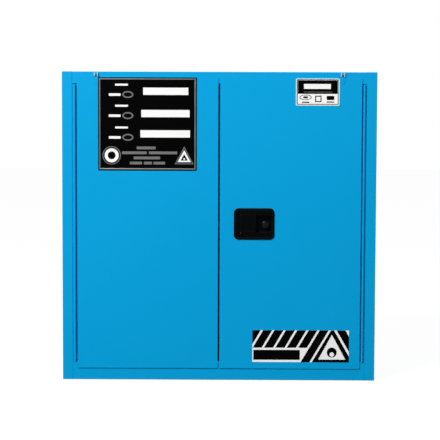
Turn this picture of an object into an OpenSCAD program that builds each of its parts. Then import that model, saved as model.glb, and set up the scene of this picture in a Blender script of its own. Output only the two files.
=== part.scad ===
// Two-door steel safety cabinet for reagents: double walls, overlay doors on
// full-length hinges, a paddle latch with three bolts, one shelf and a spill sump.
// The origin is on the floor, at the middle of the cabinet; -Y is the front.

/* [Cabinet] */
// Overall width over the side walls
cab_w = 1090; // [950:5:1300]
// Height of the steel body, without the feet
cab_h = 1073; // [900:1:1400]
// Depth from the frame's face to the back
cab_d = 460; // [420:5:650]
// Thickness of the steel sheet
sheet = 1.2; // [0.8:0.1:2]
// Radius of a bend, at the middle of the sheet
bend_r = 1.2; // [1.1:0.1:2]
// Thickness of a side or back wall over both skins
wall = 36; // [32:1:50]
// Height of the head of the frame
head_h = 41; // [38:1:60]
// Height of the rail below the doors
sill_h = 66; // [60:1:90]
// Width of the flanges that the back is fixed to
rear_flange = 16; // [10:1:24]
// Depth of the flange under the bottom rail
rail_flange = 20; // [10:1:30]
// How far the base pan stands up inside the skirt
base_up = 16; // [14:1:20]
// Space between the base pan and the sump's floor
floor_gap = 12; // [11:1:16]

/* [Doors] */
// Gap between the two doors
centre_gap = 5.5; // [3:0.5:8]
// Width of the slot that holds a hinge
hinge_slot = 16; // [13.5:0.1:19]
// How far a door laps over the head
lap_top = 21; // [15:1:24]
// How far a door laps over the bottom rail
lap_bottom = 24.5; // [15:0.5:32]
// Air behind the lapping edge of a door
lap_gap = 1.8; // [1:0.1:3]
// Depth of a door behind the frame's face
door_depth = 36; // [35:1:45]
// Gap above and below the door's box
door_clear = 5; // [3:0.5:7]
// Corner radius of a door
door_corner_r = 4; // [1:0.5:8]
// Space between a closed door and the inner walls
door_back_gap = 6; // [4:1:15]

/* [Hinges] */
// Outside diameter of the knuckles
knuckle_d = 7; // [6:0.1:8]
// Diameter of the hinge pin
hinge_pin_d = 3.4; // [2.5:0.1:4]
// How far the pin stands in front of the frame's face
hinge_pin_out = 3; // [2.8:0.1:4]
// Number of knuckles on each hinge
knuckles = 39; // [21:2:49]
// Gap between neighbouring knuckles
knuckle_gap = 0.4; // [0.3:0.1:1]
// Air above and below a hinge
hinge_end = 1.2; // [1:0.1:4]
// Space between the knuckles and the frame leaf's web
frame_fold = 1.3; // [0.8:0.1:2]
// Space between the knuckles and the door leaf's web
door_fold = 3.5; // [3:0.1:5]
// Width of a leaf on its wall
leaf_w = 28; // [20:1:32]
// Number of rivets in each leaf
hinge_rivets = 8; // [4:1:14]
// Diameter of a rivet's shank
rivet_d = 3; // [2:0.1:4]
// Diameter of a rivet's head
rivet_head_d = 6; // [5:0.1:8]
// Height of a rivet's head
rivet_head_h = 1.1; // [0.8:0.1:1.6]

/* [Latch] */
// Distance from the door's free edge to the latch housing
latch_inset = 48.75; // [40:0.25:80]
// Height of the latch's middle above the floor
latch_z = 551; // [400:1:700]
// Width of the housing's rim
rim_w = 141; // [139:1:160]
// Height of the housing's rim
rim_h = 109; // [106:1:125]
// Corner radius of the rim
rim_r = 16; // [10:1:20]
// How far the rim stands in front of the door
rim_t = 4; // [3.7:0.1:6]
// Width of the rim that lies on the door
rim_lap = 8; // [7.5:0.5:8.5]
// Depth of the finger pocket below the rim's face
pocket_d = 17; // [14:0.5:18]
// Thickness of the pocket's floor
pocket_floor_t = 2; // [1.5:0.1:3]
// Distance from the rim's edge to the paddle
paddle_inset = 21; // [18:1:24]
// Length of the paddle from its pin
paddle_l = 53; // [50:1:56]
// Height of the paddle
paddle_h = 64; // [56:1:66]
// Thickness of the paddle
paddle_t = 5; // [4:0.1:5.5]
// Diameter of the paddle's pin
paddle_pin_d = 4; // [3:0.1:4.4]
// Angle that the paddle is pulled through
paddle_turn = 30; // [28:1:32]
// Travel of the three bolts
throw = 14; // [12:0.5:15]
// How far a bolt stands in its keeper
bolt_grip = 7; // [5:0.5:7.5]
// Thickness of the draw plate
draw_t = 2; // [1.5:0.1:2.2]
// Half height of the draw plate
draw_half_h = 33; // [30:1:34]
// Diameter of the bolt rods
rod_d = 8; // [6:0.5:9]
// Distance from the paddle's pin to the rods
rod_offset = 30; // [28:1:34]
// Diameter of the pins on the rods
rod_pin_d = 4; // [3:0.1:5]
// Height of the centre bolt
centre_bolt_h = 12; // [10:1:20]
// Thickness of the centre bolt
centre_bolt_t = 8; // [5:0.5:9]
// Outside diameter of the lock
lock_d = 20; // [18:0.5:23]
// Diameter of the screws that hold the housing
screw_d = 4; // [3:0.1:4.5]
// Diameter of the lock's plug
plug_d = 12; // [10:0.5:14]

/* [Shelf and trays] */
// Height of the shelf above the floor
shelf_z = 548; // [300:1:800]
// Height of the shelf's turned-down edges
shelf_edge = 28; // [15:1:40]
// Thickness of a plastic tray's walls
tray_t = 3; // [2:0.1:5]
// Height of the shelf tray's walls
tray_h = 35; // [20:1:60]
// Height of the sump tray's walls
sump_tray_h = 30; // [20:1:31]
// Depth of an upright's channel
upright_d = 8; // [6:0.5:14]
// Width of an upright
upright_w = 26; // [20:1:40]
// Distance between the slots in an upright
slot_pitch = 50; // [40:1:80]
// Number of slots in an upright
slots = 15; // [9:1:15]

/* [Vents] */
// Bore of a vent
vent_bore = 50.8; // [40:0.2:60]
// Outside diameter of a vent's tube
vent_od = 58; // [55:0.5:68]
// Diameter of a vent's outer flange
vent_flange_d = 76; // [74:1:90]
// How far a vent stands out of the side
vent_out = 8; // [6:0.5:12]
// Height of the lower, left vent above the floor
vent_low = 150; // [130:1:250]
// Distance of the upper, right vent below the top
vent_high = 143; // [110:1:250]
// Thickness of a vent cap's disc
cap_t = 5; // [3:0.5:8]
// Height of the grip across a cap
cap_grip = 5; // [3:0.5:10]

/* [Signs] */
// Width of the sign on the left door
sign_w = 341.5; // [200:0.5:380]
// Height of the sign on the left door
sign_h = 321.5; // [200:0.5:400]
// Distance from the left door's hinge edge to its sign
sign_inset = 73.9; // [50:0.1:90]
// Thickness of a sign's plate
sign_t = 1.2; // [0.6:0.1:2]
// Width of the metal frame round a sign
sign_frame_w = 7.8; // [3:0.2:12]
// Width of the plate at the top of the right door
plate_w = 151; // [100:0.5:200]
// Height of the plate at the top of the right door
plate_h = 94; // [60:1:140]
// Distance from the right door's hinge edge to its plate
plate_inset = 78.2; // [60:0.1:120]
// Width of the striped strip
strip_w = 337; // [200:1:400]
// Height of the striped strip
strip_h = 112; // [60:1:160]
// Distance from the right door's hinge edge to the strip
strip_inset = 37.9; // [20:0.1:60]
// Distance from the right door's lower edge to the strip
strip_up = 23; // [10:1:60]
// Thickness of the strip
strip_t = 0.4; // [0.2:0.1:1]

/* [Head brackets] */
// Distance of a roller bracket from the cabinet's side
bracket_inset = 119.2; // [90:0.1:160]
// Width of a roller bracket
bracket_w = 14.6; // [14:0.1:24]
// Thickness of a roller bracket's two cheeks
bracket_cheek = 4; // [2:0.1:4.5]
// Height of a roller bracket
bracket_h = 15; // [9:1:16]
// How far a roller bracket stands out of the head
bracket_out = 6.8; // [6.6:0.1:7]
// Diameter of a roller
roller_d = 4.8; // [4:0.1:5]
// Height of the tab on the door
tab_h = 20; // [12:1:28]

/* [Feet and earth stud] */
// How far the feet stand below the body
foot_show = 3; // [2:0.5:12]
// Diameter of a foot's pad
pad_d = 40; // [30:1:50]
// Thickness of a foot's pad
pad_t = 7; // [6:0.5:8]
// Diameter of a foot's screw
foot_screw_d = 10; // [8:0.5:12]
// Distance of a foot from the side and from the face or back
foot_inset = 62; // [60:1:90]
// Diameter of the earth stud
stud_d = 8; // [6:0.5:10]
// Length of the earth stud outside the cabinet
stud_out = 18; // [17:0.5:24]
// Height of the earth stud above the floor
stud_z = 60; // [50:1:120]

/* [Hidden] */

fine = 48;              // facets of round parts
running = 0.05;         // radial clearance of a pin in its bore
slide_gap = 0.3;        // clearance of a sliding or folded piece
hole_gap = 1;           // clearance round a bolt in its hole
seat_gap = 0.05;        // between two pieces of one node that bear on each other

// Heights
z_body = foot_show;
z_top = z_body + cab_h;
z_sill = z_body + sill_h;
z_head = z_top - head_h;
z_base = z_body + base_up;
z_floor = z_base + sheet + floor_gap;
z_sump = z_floor + sheet;
// Half widths
x_side = cab_w / 2;
x_jamb = x_side - wall;
// Depths, measured from the frame's face
y_inner = door_depth + door_back_gap;
y_liner_back = cab_d - wall;
y_pan_back = cab_d - 2 * sheet - bend_r;   // back edge of the top and of the base pan
// Doors
x_free = centre_gap / 2;
x_edge = x_jamb - hinge_slot;
skin_face = -lap_gap - sheet;
z_door_low = z_sill - lap_bottom;
z_door_high = z_head + lap_top;
z_box_low = z_sill + door_clear;
z_box_high = z_head - door_clear;
box_h = z_box_high - z_box_low;
buffer_d = 10;
buffer_inset = 30;      // from a door's free edge
buffer_gap = 0.2;
// Hinges
hinge_x = x_jamb - hinge_slot / 2;
hinge_y = -hinge_pin_out;
hinge_low = z_sill + hinge_end;
hinge_high = z_head - hinge_end;
knuckle_l = (hinge_high - hinge_low) / knuckles;
leaf_back = hinge_y + knuckle_d / 2;    // back of the knuckles
web_gap = 0.4;          // between a leaf's web and the other leaf's knuckles
rivet_y = leaf_back + leaf_w * 0.6;
// Latch
rim_face = skin_face - rim_t;
rim_left = x_free + latch_inset;
rim_mid = rim_left + rim_w / 2;
body_w = rim_w - 2 * rim_lap;
body_h = rim_h - 2 * rim_lap;
body_r = 14;
pocket_y = rim_face + pocket_d;
housing_back = pocket_y + pocket_floor_t;
paddle_flush = 0.5;     // the paddle lies this far below the rim's face
paddle_face = rim_face + paddle_flush;
knuckle_r = paddle_t * 0.64;
paddle_x = rim_left + paddle_inset + knuckle_r;
paddle_y = paddle_face + knuckle_r;
paddle_gap = 0.75;      // clearance round the paddle
well_y = paddle_y + knuckle_r + 1.1;
pocket_h = 56;
pocket_x0 = paddle_x + paddle_l / 2;
pocket_x1 = rim_mid + body_w / 2 - pocket_floor_t;
draw_y = paddle_y + throw / tan(paddle_turn);
lever_t = 4;
lever_h = 12;
lever_l = (draw_y + draw_t / 2 - paddle_y) / cos(paddle_turn) + 1;
rod_x = paddle_x + rod_offset;
rail_back = 1.5;        // steel behind the rails' grooves
rail_y = draw_y + draw_t / 2 + slide_gap + rail_back;
rod_y = rail_y + slide_gap + rod_d / 2;
rod_pin_up = 25;        // height of a rod's pin above the latch's middle
rod_tail = 6;           // length of a rod beyond its pin
slot_w = rod_pin_d + 2 * slide_gap;
draw_x1 = rod_x + slot_w / 2 + 5;
draw_x0 = x_free + throw + 8;
guide_x0 = rim_mid - body_w / 2 + 1;
guide_x1 = draw_x1 + throw + 3;
guide_h = 12;           // height of a rod's guide block
guide_inset = 30;       // from the ends of the door's box to the outer blocks
guide_near = 110;       // from the latch's middle to the inner blocks
lock_out = 39.5;        // from the housing's middle to the lock, and how far the lock lies lower
lock_down = 2;
lock_x = rim_mid + lock_out;
lock_z = latch_z - lock_down;
lock_back = draw_y - draw_t / 2 - slide_gap;
cam_l = plug_d / 2 + throw;    // the cam stops the draw plate's nose, and clears it when it hangs down
nose_x = lock_x - cam_l - 0.5;
nose_h = 10;
spring_z = 10;          // where the paddle's spring starts above the latch's middle
spring_h = 12;
spring_t = 0.9;
screw_x = rim_w / 2 - 10;
screw_z = rim_h / 2 - 9.5;
screw_head_h = 2.4;
mount_t = 2;
keeper_t = 3;
// Floor and wall stiffeners
stringer_inset = 200;   // from the side walls to the outer stringers
spacer_inset = 300;     // from the side walls to the spacers of the back
spacer_flange = 20;
// Shelf and trays
upright_inset = [48, 52];   // from the front and the back of the inner box
upright_up = 100;
upright_y = [y_inner + upright_inset[0], y_liner_back - upright_inset[1]];
upright_z0 = z_sill + upright_up;
slot_h = 20;
slot_gap_w = 5;
shelf_x = x_jamb - upright_d - 1;
shelf_y0 = y_inner + 8;
shelf_y1 = y_liner_back - 5;
clip_t = 2;
clip_ledge = 24;
clip_drop = 34;
tray_gap = 4;
// Vents
vent_y = (y_inner + y_liner_back) / 2;
vent_z = [vent_low, z_top - vent_high];
flange_t = 2;
cap_d = vent_od + 8;
plug_gap = 0.3;
plug_reach = 12;
// Feet
foot_x = x_side - foot_inset;
foot_y = [foot_inset, cab_d - foot_inset];
collar_h = 4;
foot_nut_h = 5;
foot_boss_h = 9;
foot_top = z_base + sheet + foot_boss_h + 1;
// Head brackets
bracket_x = x_side - bracket_inset;
bracket_z = z_door_high + bracket_h / 2 + 3;
bracket_t = 1.4;        // of its plate on the head
roller_pin_d = 2.4;
roller_y = -bracket_t - slide_gap - roller_d / 2;
tab_w = 14;
tab_t = 1.4;
tab_up = 2;             // how far the tab stands above the door
// Signs
sign_drop = 0;          // from the left door's upper edge to its sign
plate_drop = 2;         // from the right door's upper edge to its plate
// Earth stud
stud_y = cab_d - foot_inset;
nut_h = 6.5;
washer_t = 1.6;
stud_shank = 0.4;       // by how much the shank is thicker than the free end
stud_step = x_side + 2 * washer_t + nut_h + 2 * seat_gap + slide_gap;

// The model's place: the middle of its depth, from the rim's face to the back, is at y = 0.
shift_y = -(cab_d + rim_face) / 2;

// ---- Helpers

module place() translate([0, shift_y, 0]) children();

// What is drawn for the right side, on either side: s is 1 for right and -1 for left.
module on_side(s) mirror([s < 0 ? 1 : 0, 0, 0]) children();

// A box from its low corner to its high corner.
module block(low, high) translate(low) cube(high - low);

// Turns a profile drawn as (depth, height) so that its extrusion runs along X from x0 to x1.
module along_x(x0, x1) translate([x0, 0, 0]) rotate([90, 0, 90]) linear_extrude(x1 - x0) children();

// Turns an outline drawn as (width, height) so that its extrusion runs along Y from y0 to y1.
module along_y(y0, y1) translate([0, y1, 0]) rotate([90, 0, 0]) linear_extrude(y1 - y0) children();

// A cylinder along X or along Y.
module round_x(x0, x1, d) translate([x0, 0, 0]) rotate([0, 90, 0]) cylinder(h = x1 - x0, d = d, $fn = fine);
module round_y(y0, y1, d) translate([0, y1, 0]) rotate([90, 0, 0]) cylinder(h = y1 - y0, d = d, $fn = fine);

// The section of a folded sheet: path is the line at the middle of the sheet, with square turns.
module folded(path, t = sheet, r = bend_r) {
    last = len(path) - 1;
    for (i = [0:last - 1]) {
        way = (path[i + 1] - path[i]) / norm(path[i + 1] - path[i]);
        from = i == 0 ? path[i] : path[i] + r * way;
        to = i == last - 1 ? path[i + 1] : path[i + 1] - r * way;
        side = [-way[1], way[0]] * t / 2;
        polygon([from - side, to - side, to + side, from + side]);
    }
    for (i = [1:last - 1]) {
        way_in = (path[i] - path[i - 1]) / norm(path[i] - path[i - 1]);
        way_out = (path[i + 1] - path[i]) / norm(path[i + 1] - path[i]);
        reach = r + t;
        translate(path[i] - r * way_in + r * way_out) intersection() {
            difference() {
                circle(r = r + t / 2, $fn = fine);
                circle(r = r - t / 2, $fn = fine);
            }
            polygon([[0, 0], reach * way_in, reach * (way_in - way_out), -reach * way_out]);
        }
    }
}

// A rectangle with round corners, centred.
module round_rect(w, h, r) {
    square([w - 2 * r, h], center = true);
    square([w, h - 2 * r], center = true);
    for (x = [-1, 1], z = [-1, 1]) translate([x * (w / 2 - r), z * (h / 2 - r)]) circle(r = r, $fn = fine);
}

// A slot with round ends from a to b.
module slot_2d(a, b, w) {
    way = (b - a) / norm(b - a);
    side = [-way[1], way[0]] * w / 2;
    polygon([a - side, b - side, b + side, a + side]);
    for (p = [a, b]) translate(p) circle(d = w, $fn = fine);
}

// ---- Outer casing

// Side wall with the stile and jamb folded onto its front and a flange onto its back.
module outer_side(s) color("deepskyblue") difference() {
    on_side(s) translate([0, 0, z_body]) linear_extrude(cab_h) folded([
        [x_side - rear_flange, cab_d - 1.5 * sheet],
        [x_side - sheet / 2, cab_d - 1.5 * sheet],
        [x_side - sheet / 2, sheet / 2],
        [x_jamb + sheet / 2, sheet / 2],
        [x_jamb + sheet / 2, y_inner]]);
    at_vent(s) round_x(x_side - 2 * sheet, x_side + 1, vent_od + 2 * slide_gap);
    if (s > 0) translate([0, stud_y, stud_z])
        round_x(x_side - 2 * sheet, x_side + 1, stud_d + stud_shank + 2 * slide_gap);
    on_side(s) leaf_rivet_holes(x_jamb - 1, x_jamb + sheet + 1);
}

// Top with the head of the frame folded down at its front.
module outer_top() color("deepskyblue") difference() {
    union() {
        along_x(-x_jamb, x_jamb) folded([
            [cab_d - 1.5 * sheet, z_top - rear_flange],
            [cab_d - 1.5 * sheet, z_top - sheet / 2],
            [sheet / 2, z_top - sheet / 2],
            [sheet / 2, z_head + sheet / 2],
            [y_inner, z_head + sheet / 2]]);
        for (s = [-1, 1]) on_side(s) {
            block([x_jamb - 1, y_inner + 1, z_top - sheet], [x_side - sheet, y_pan_back, z_top]);
            stile_corner(z_top - sheet);
        }
    }
    rod_hole(z_head - 1, sheet + 2);
}

// Tongue that closes the space behind a stile at height z.
module stile_corner(z) {
    corner = bend_r - sheet / 2;
    block([x_jamb + sheet, sheet + corner, z], [x_side - sheet, y_inner + 2, z + sheet]);
    block([x_jamb + sheet + corner, sheet, z], [x_side - sheet - corner, sheet + corner + 1, z + sheet]);
}

// Hole for a bolt rod in the head or the sill, from height z upwards.
module rod_hole(z, h) translate([rod_x, rod_y, z]) cylinder(h = h, d = rod_d + 2 * hole_gap, $fn = fine);

module outer_back() color("deepskyblue") block(
    [-x_side + bend_r + sheet, cab_d - sheet, z_body],
    [x_side - bend_r - sheet, cab_d, z_top - bend_r - sheet]);

// Rail below the doors, with the sill folded back at its top.
module bottom_rail() color("deepskyblue") difference() {
    along_x(-x_jamb, x_jamb) folded([
        [y_inner, z_sill - sheet / 2],
        [sheet / 2, z_sill - sheet / 2],
        [sheet / 2, z_body + sheet / 2],
        [rail_flange, z_body + sheet / 2]]);
    rod_hole(z_sill - sheet - 1, sheet + 2);
}

// Outer bottom, raised inside the skirt so that it hides the feet.
module base_pan() color("deepskyblue") difference() {
    union() {
        block([-x_jamb, sheet, z_base], [x_jamb, y_inner + 1, z_base + sheet]);
        block([-x_side + sheet, y_inner, z_base], [x_side - sheet, y_pan_back, z_base + sheet]);
        for (s = [-1, 1]) on_side(s) stile_corner(z_base);
    }
    for (x = [-foot_x, foot_x], y = foot_y)
        translate([x, y, z_base - 1]) cylinder(h = sheet + 2, d = foot_screw_d + 2 * slide_gap, $fn = fine);
}

// ---- Inner box

module inner_side(s) color("deepskyblue") difference() {
    on_side(s) block([x_jamb, y_inner, z_floor], [x_jamb + sheet, y_liner_back + sheet, z_head + sheet]);
    at_vent(s) round_x(x_jamb - 1, x_jamb + 2 * sheet, vent_od + 2 * slide_gap);
}

module inner_top() color("deepskyblue")
    block([-x_jamb, y_inner, z_head], [x_jamb, y_liner_back + sheet, z_head + sheet]);

module inner_back() color("deepskyblue")
    block([-x_jamb, y_liner_back, z_floor], [x_jamb, y_liner_back + sheet, z_head]);

// Welded pan that holds spills: its walls reach up to the sill.
module sump_pan() color("deepskyblue") difference() {
    block([-x_jamb, y_inner, z_floor], [x_jamb, y_liner_back, z_sill]);
    block([-x_jamb + sheet, y_inner + sheet, z_sump], [x_jamb - sheet, y_liner_back - sheet, z_sill + 1]);
}

// Hat sections that carry the sump on the base pan.
module floor_stringers() {
    half = 30;
    foot = 12;
    reach = x_jamb - stringer_inset;
    color("silver") for (x = [-reach, 0, reach]) translate([x, y_liner_back - 10, 0]) rotate([90, 0, 0])
        linear_extrude(y_liner_back - y_inner - 20) folded([
            [-half - foot, z_base + 1.5 * sheet],
            [-half, z_base + 1.5 * sheet],
            [-half, z_floor - sheet / 2],
            [half, z_floor - sheet / 2],
            [half, z_base + 1.5 * sheet],
            [half + foot, z_base + 1.5 * sheet]]);
}

// Folded strips that hold the two skins of each wall apart.
module wall_spacers() {
    inner = x_jamb + sheet;
    outer = x_side - sheet;
    color("silver") {
        for (s = [-1, 1], i = [1, 2]) on_side(s)
            translate([0, y_liner_back - 8, z_sill + i * (z_head - z_sill) / 3]) rotate([90, 0, 0])
                linear_extrude(y_liner_back - y_inner - 16) folded([
                    [inner + sheet / 2, spacer_flange],
                    [inner + sheet / 2, 0],
                    [outer - sheet / 2, 0],
                    [outer - sheet / 2, spacer_flange]]);
        for (s = [-1, 1]) on_side(s)
            translate([x_jamb - spacer_inset, 0, z_sill]) linear_extrude(z_head - z_sill) folded([
                [spacer_flange, y_liner_back + 1.5 * sheet],
                [0, y_liner_back + 1.5 * sheet],
                [0, cab_d - 1.5 * sheet],
                [spacer_flange, cab_d - 1.5 * sheet]]);
    }
}

// Rings that guide the tips of the rods into the head and the sill.
module rod_keepers() {
    ring_t = 2;
    color("ivory") for (z = [z_head + sheet, z_sill - sheet - ring_t]) difference() {
        translate([rod_x, rod_y, z]) cylinder(h = ring_t, d = rod_d + 8, $fn = fine);
        rod_hole(z - 1, ring_t + 2);
    }
}

// Rubber buttons that the doors close on.
module door_buffers() color("dimgray")
    for (x = [-1, 1], z = [z_head + lap_top / 2, z_sill - lap_bottom / 2])
        translate([x * (x_free + buffer_inset), 0, z]) round_y(-lap_gap + buffer_gap, 0, buffer_d);

// ---- Hinges

// Height of a leaf's knuckle: the frame has the even ones and the door the odd ones.
function knuckle_z(i) = hinge_low + i * knuckle_l + knuckle_gap / 2;
function rivet_z(i) = z_box_low + box_h * (i + 0.5) / hinge_rivets;

// The right hinge's leaf for one of its two walls: first is 0 for the frame and 1 for the door.
// It is folded behind the knuckles, so that its web closes the slot on its side.
module hinge_leaf(first) {
    wall_x = first == 0 ? x_jamb : x_edge;
    into = first == 0 ? -1 : 1;     // the leaf lies on this side of its wall
    face = wall_x + into * sheet;
    fold_y = leaf_back + (first == 0 ? frame_fold : door_fold);
    neck = sheet / 2;
    color("deepskyblue") difference() {
        union() {
            block([min(wall_x, face), fold_y, hinge_low], [max(wall_x, face), leaf_back + leaf_w, hinge_high]);
            web_x = hinge_x - into * (neck + web_gap);
            block([min(wall_x, web_x), fold_y, hinge_low], [max(wall_x, web_x), fold_y + sheet, hinge_high]);
            for (i = [first:2:knuckles - 1]) translate([0, 0, knuckle_z(i)]) {
                high = knuckle_l - knuckle_gap;
                block([min(wall_x, hinge_x - neck), fold_y, 0],
                      [max(wall_x, hinge_x + neck), fold_y + sheet, high]);
                block([hinge_x - neck, hinge_y, 0], [hinge_x + neck, fold_y + sheet, high]);
                translate([hinge_x, hinge_y, 0]) cylinder(h = high, d = knuckle_d, $fn = fine);
            }
        }
        translate([hinge_x, hinge_y, hinge_low - 1])
            cylinder(h = hinge_high - hinge_low + 2, d = hinge_pin_d + 2 * running, $fn = fine);
        if (first == 0) leaf_rivet_holes(face - 1, wall_x + 1);
    }
}

// Holes for the rivets of a leaf, through what lies between x0 and x1.
module leaf_rivet_holes(x0, x1) for (i = [0:hinge_rivets - 1])
    translate([0, rivet_y, rivet_z(i)]) round_x(x0, x1, rivet_d + 0.2);

// Rivets through the frame's leaves and the jambs, with their heads on the leaves.
module frame_leaf_rivets() color("silver") for (s = [-1, 1], i = [0:hinge_rivets - 1]) on_side(s)
    translate([x_jamb - sheet, rivet_y, rivet_z(i)]) {
        round_x(-rivet_head_h, 0, rivet_head_d);
        round_x(0, 2 * sheet, rivet_d);
    }

module hinge_pins() color("silver") for (s = [-1, 1]) on_side(s) translate([hinge_x, hinge_y, hinge_low])
    cylinder(h = hinge_high - hinge_low, d = hinge_pin_d, $fn = fine);

// ---- Doors

// Outline of a whole door, seen from the front.
module door_outline() translate([(x_free + x_edge) / 2, (z_door_low + z_door_high) / 2])
    round_rect(x_edge - x_free, z_door_high - z_door_low, door_corner_r);

// Front of a door: its sides are folded back, its top and bottom lap over the frame,
// and a small tab stands at its top.
module door_skin(s) color("deepskyblue") on_side(s) difference() {
    union() {
        translate([0, 0, z_box_low]) linear_extrude(box_h) folded([
            [x_free + sheet / 2, door_depth],
            [x_free + sheet / 2, skin_face + sheet / 2],
            [x_edge - sheet / 2, skin_face + sheet / 2],
            [x_edge - sheet / 2, door_depth]]);
        along_y(skin_face, -lap_gap) intersection() {
            door_outline();
            union() {
                for (span = [[z_door_low, z_box_low], [z_box_high, z_door_high]])
                    translate([x_free, span[0]]) square([x_edge - x_free, span[1] - span[0]]);
                translate([x_free + 2 * bend_r, z_door_low])
                    square([x_edge - x_free - 4 * bend_r, z_door_high - z_door_low]);
            }
        }
        block([bracket_x - tab_w / 2, skin_face - tab_t, z_door_high - tab_h],
              [bracket_x + tab_w / 2, skin_face, z_door_high + tab_up]);
    }
    centre_bolt_hole(x_free - 1, x_free + 2 * sheet);
    if (s > 0) {
        at_latch() along_y(skin_face - 1, -lap_gap + 1)
            round_rect(body_w + 2 * slide_gap, body_h + 2 * slide_gap, body_r);
        latch_screws(screw_d + 0.4, skin_face - 1, -lap_gap + 1);
    }
}

// The centre bolt's hole through what lies between x0 and x1 on the right door.
module centre_bolt_hole(x0, x1) {
    deep = centre_bolt_t / 2 + hole_gap;
    high = centre_bolt_h / 2 + hole_gap;
    block([x0, draw_y - deep, latch_z - high], [x1, draw_y + deep, latch_z + high]);
}

// Steel plate behind the left door's free edge, which the centre bolt shoots into.
module centre_keeper() color("silver") on_side(-1) difference() {
    half_d = 12;
    half_h = 24;
    block([x_free + sheet, draw_y - half_d, latch_z - half_h],
          [x_free + sheet + keeper_t, draw_y + half_d, latch_z + half_h]);
    centre_bolt_hole(x_free, x_free + sheet + keeper_t + 1);
}

// Inner panel of a door, folded forward to the skin at its top and bottom.
module door_liner(s) {
    edge = sheet + bend_r - sheet / 2;
    color("deepskyblue") difference() {
        on_side(s) along_x(x_free + edge, x_edge - edge) folded([
            [-lap_gap, z_box_low + sheet / 2],
            [door_depth - sheet / 2, z_box_low + sheet / 2],
            [door_depth - sheet / 2, z_box_high - sheet / 2],
            [-lap_gap, z_box_high - sheet / 2]]);
        if (s > 0) translate([rod_x, rod_y, z_box_low - 1])
            cylinder(h = box_h + 2, d = rod_d + 2 * slide_gap, $fn = fine);
    }
}

module hinge_frame_leaves() for (s = [-1, 1]) on_side(s) hinge_leaf(0);
module hinge_door_leaf(s) on_side(s) hinge_leaf(1);

// ---- Signs: bare plates

// Outline of the sign on the left door, smaller by margin.
module sign_outline(margin)
    translate([-(x_edge - sign_inset - sign_w / 2), z_door_high - sign_drop - sign_h / 2])
        round_rect(sign_w - 2 * margin, sign_h - 2 * margin, 2);

module sign_frame() color("silver") along_y(skin_face - sign_t, skin_face) difference() {
    sign_outline(0);
    sign_outline(sign_frame_w);
}

module sign_plate() color([0.05, 0.05, 0.05])
    along_y(skin_face - sign_t * 0.7, skin_face) sign_outline(sign_frame_w + 0.05);

module rating_plate() color("whitesmoke")
    translate([x_edge - plate_inset - plate_w / 2, 0, z_door_high - plate_drop - plate_h / 2])
        along_y(skin_face - sign_t, skin_face) round_rect(plate_w, plate_h, 5);

module striped_strip() color("whitesmoke")
    translate([x_edge - strip_inset - strip_w / 2, 0, z_door_low + strip_up + strip_h / 2])
        along_y(skin_face - strip_t, skin_face) square([strip_w, strip_h], center = true);

// ---- Latch on the right door

module at_latch() translate([rim_mid, 0, latch_z]) children();

// The four screws of the housing, or their holes: d wide, from y0 to y1.
module latch_screws(d, y0, y1) for (x = [-1, 1], z = [-1, 1])
    at_latch() translate([x * screw_x, 0, z * screw_z]) round_y(y0, y1, d);

// Dish with a well for the paddle and a deeper pocket for the fingers.
module latch_housing() color([0.08, 0.08, 0.09]) difference() {
    union() {
        at_latch() along_y(rim_face, skin_face) round_rect(rim_w, rim_h, rim_r);
        at_latch() along_y(skin_face - 1, housing_back) round_rect(body_w, body_h, body_r);
    }
    block([paddle_x - knuckle_r - paddle_gap, rim_face - 1, latch_z - paddle_h / 2 - paddle_gap],
          [paddle_x + paddle_l + paddle_gap, well_y, latch_z + paddle_h / 2 + paddle_gap]);
    block([pocket_x0, rim_face - 1, latch_z - pocket_h / 2], [pocket_x1, pocket_y, latch_z + pocket_h / 2]);
    slot_half = lever_h / 2 + paddle_gap;
    block([paddle_x - lever_t / 2 - 1.2, well_y - 1, latch_z - slot_half],
          [paddle_x + lever_l * sin(paddle_turn) + lever_t, housing_back + 1, latch_z + slot_half]);
    translate([paddle_x, paddle_y, latch_z - paddle_h / 2 - 6])
        cylinder(h = paddle_h + 12, d = paddle_pin_d + 0.04, $fn = fine);
    translate([lock_x, 0, lock_z]) round_y(pocket_y - 1, housing_back + 1, lock_d + 0.2);
    latch_screws(screw_d, skin_face - rim_t * 0.6, skin_face + 1);
}

// Steel frame behind the skin, and the screws that pull the housing onto the door.
module latch_mounting() {
    color("silver") difference() {
        at_latch() along_y(-lap_gap, -lap_gap + mount_t) difference() {
            round_rect(rim_w - 2, rim_h - 2, rim_r - 1);
            round_rect(body_w + 2 * slide_gap, body_h + 2 * slide_gap, body_r);
        }
        latch_screws(screw_d + 0.4, -lap_gap - 1, -lap_gap + mount_t + 1);
    }
    color("gainsboro") {
        head_y = -lap_gap + mount_t + seat_gap;
        latch_screws(screw_d - 0.2, skin_face - rim_t * 0.5, head_y);
        latch_screws(screw_d + 2, head_y, head_y + screw_head_h);
    }
}

// Rails of the draw plate and bored blocks of the rods.
module latch_guides() {
    rail_z = draw_half_h + slide_gap;
    rail_h = 5;
    groove = draw_t + 2 * slide_gap;
    lip = 3;
    color("silver") for (s = [-1, 1]) translate([0, 0, latch_z]) mirror([0, 0, s < 0 ? 1 : 0])
        along_x(guide_x0, guide_x1) difference() {
            translate([housing_back, rail_z - lip]) square([rail_y - housing_back, rail_h + lip]);
            translate([draw_y - groove / 2, rail_z - lip - 1]) square([groove, lip + 1]);
        }
    heights = [z_box_low + guide_inset, latch_z - guide_near, latch_z + guide_near,
        z_box_high - guide_inset - guide_h];
    color("silver") for (z = heights) difference() {
        block([rod_x - rod_d / 2 - 5, rod_y - rod_d / 2 - 1.5, z],
              [rod_x + rod_d / 2 + 5, door_depth - sheet, z + guide_h]);
        translate([rod_x, rod_y, z - 1]) cylinder(h = guide_h + 2, d = rod_d + 2 * running, $fn = fine);
    }
}

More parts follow.
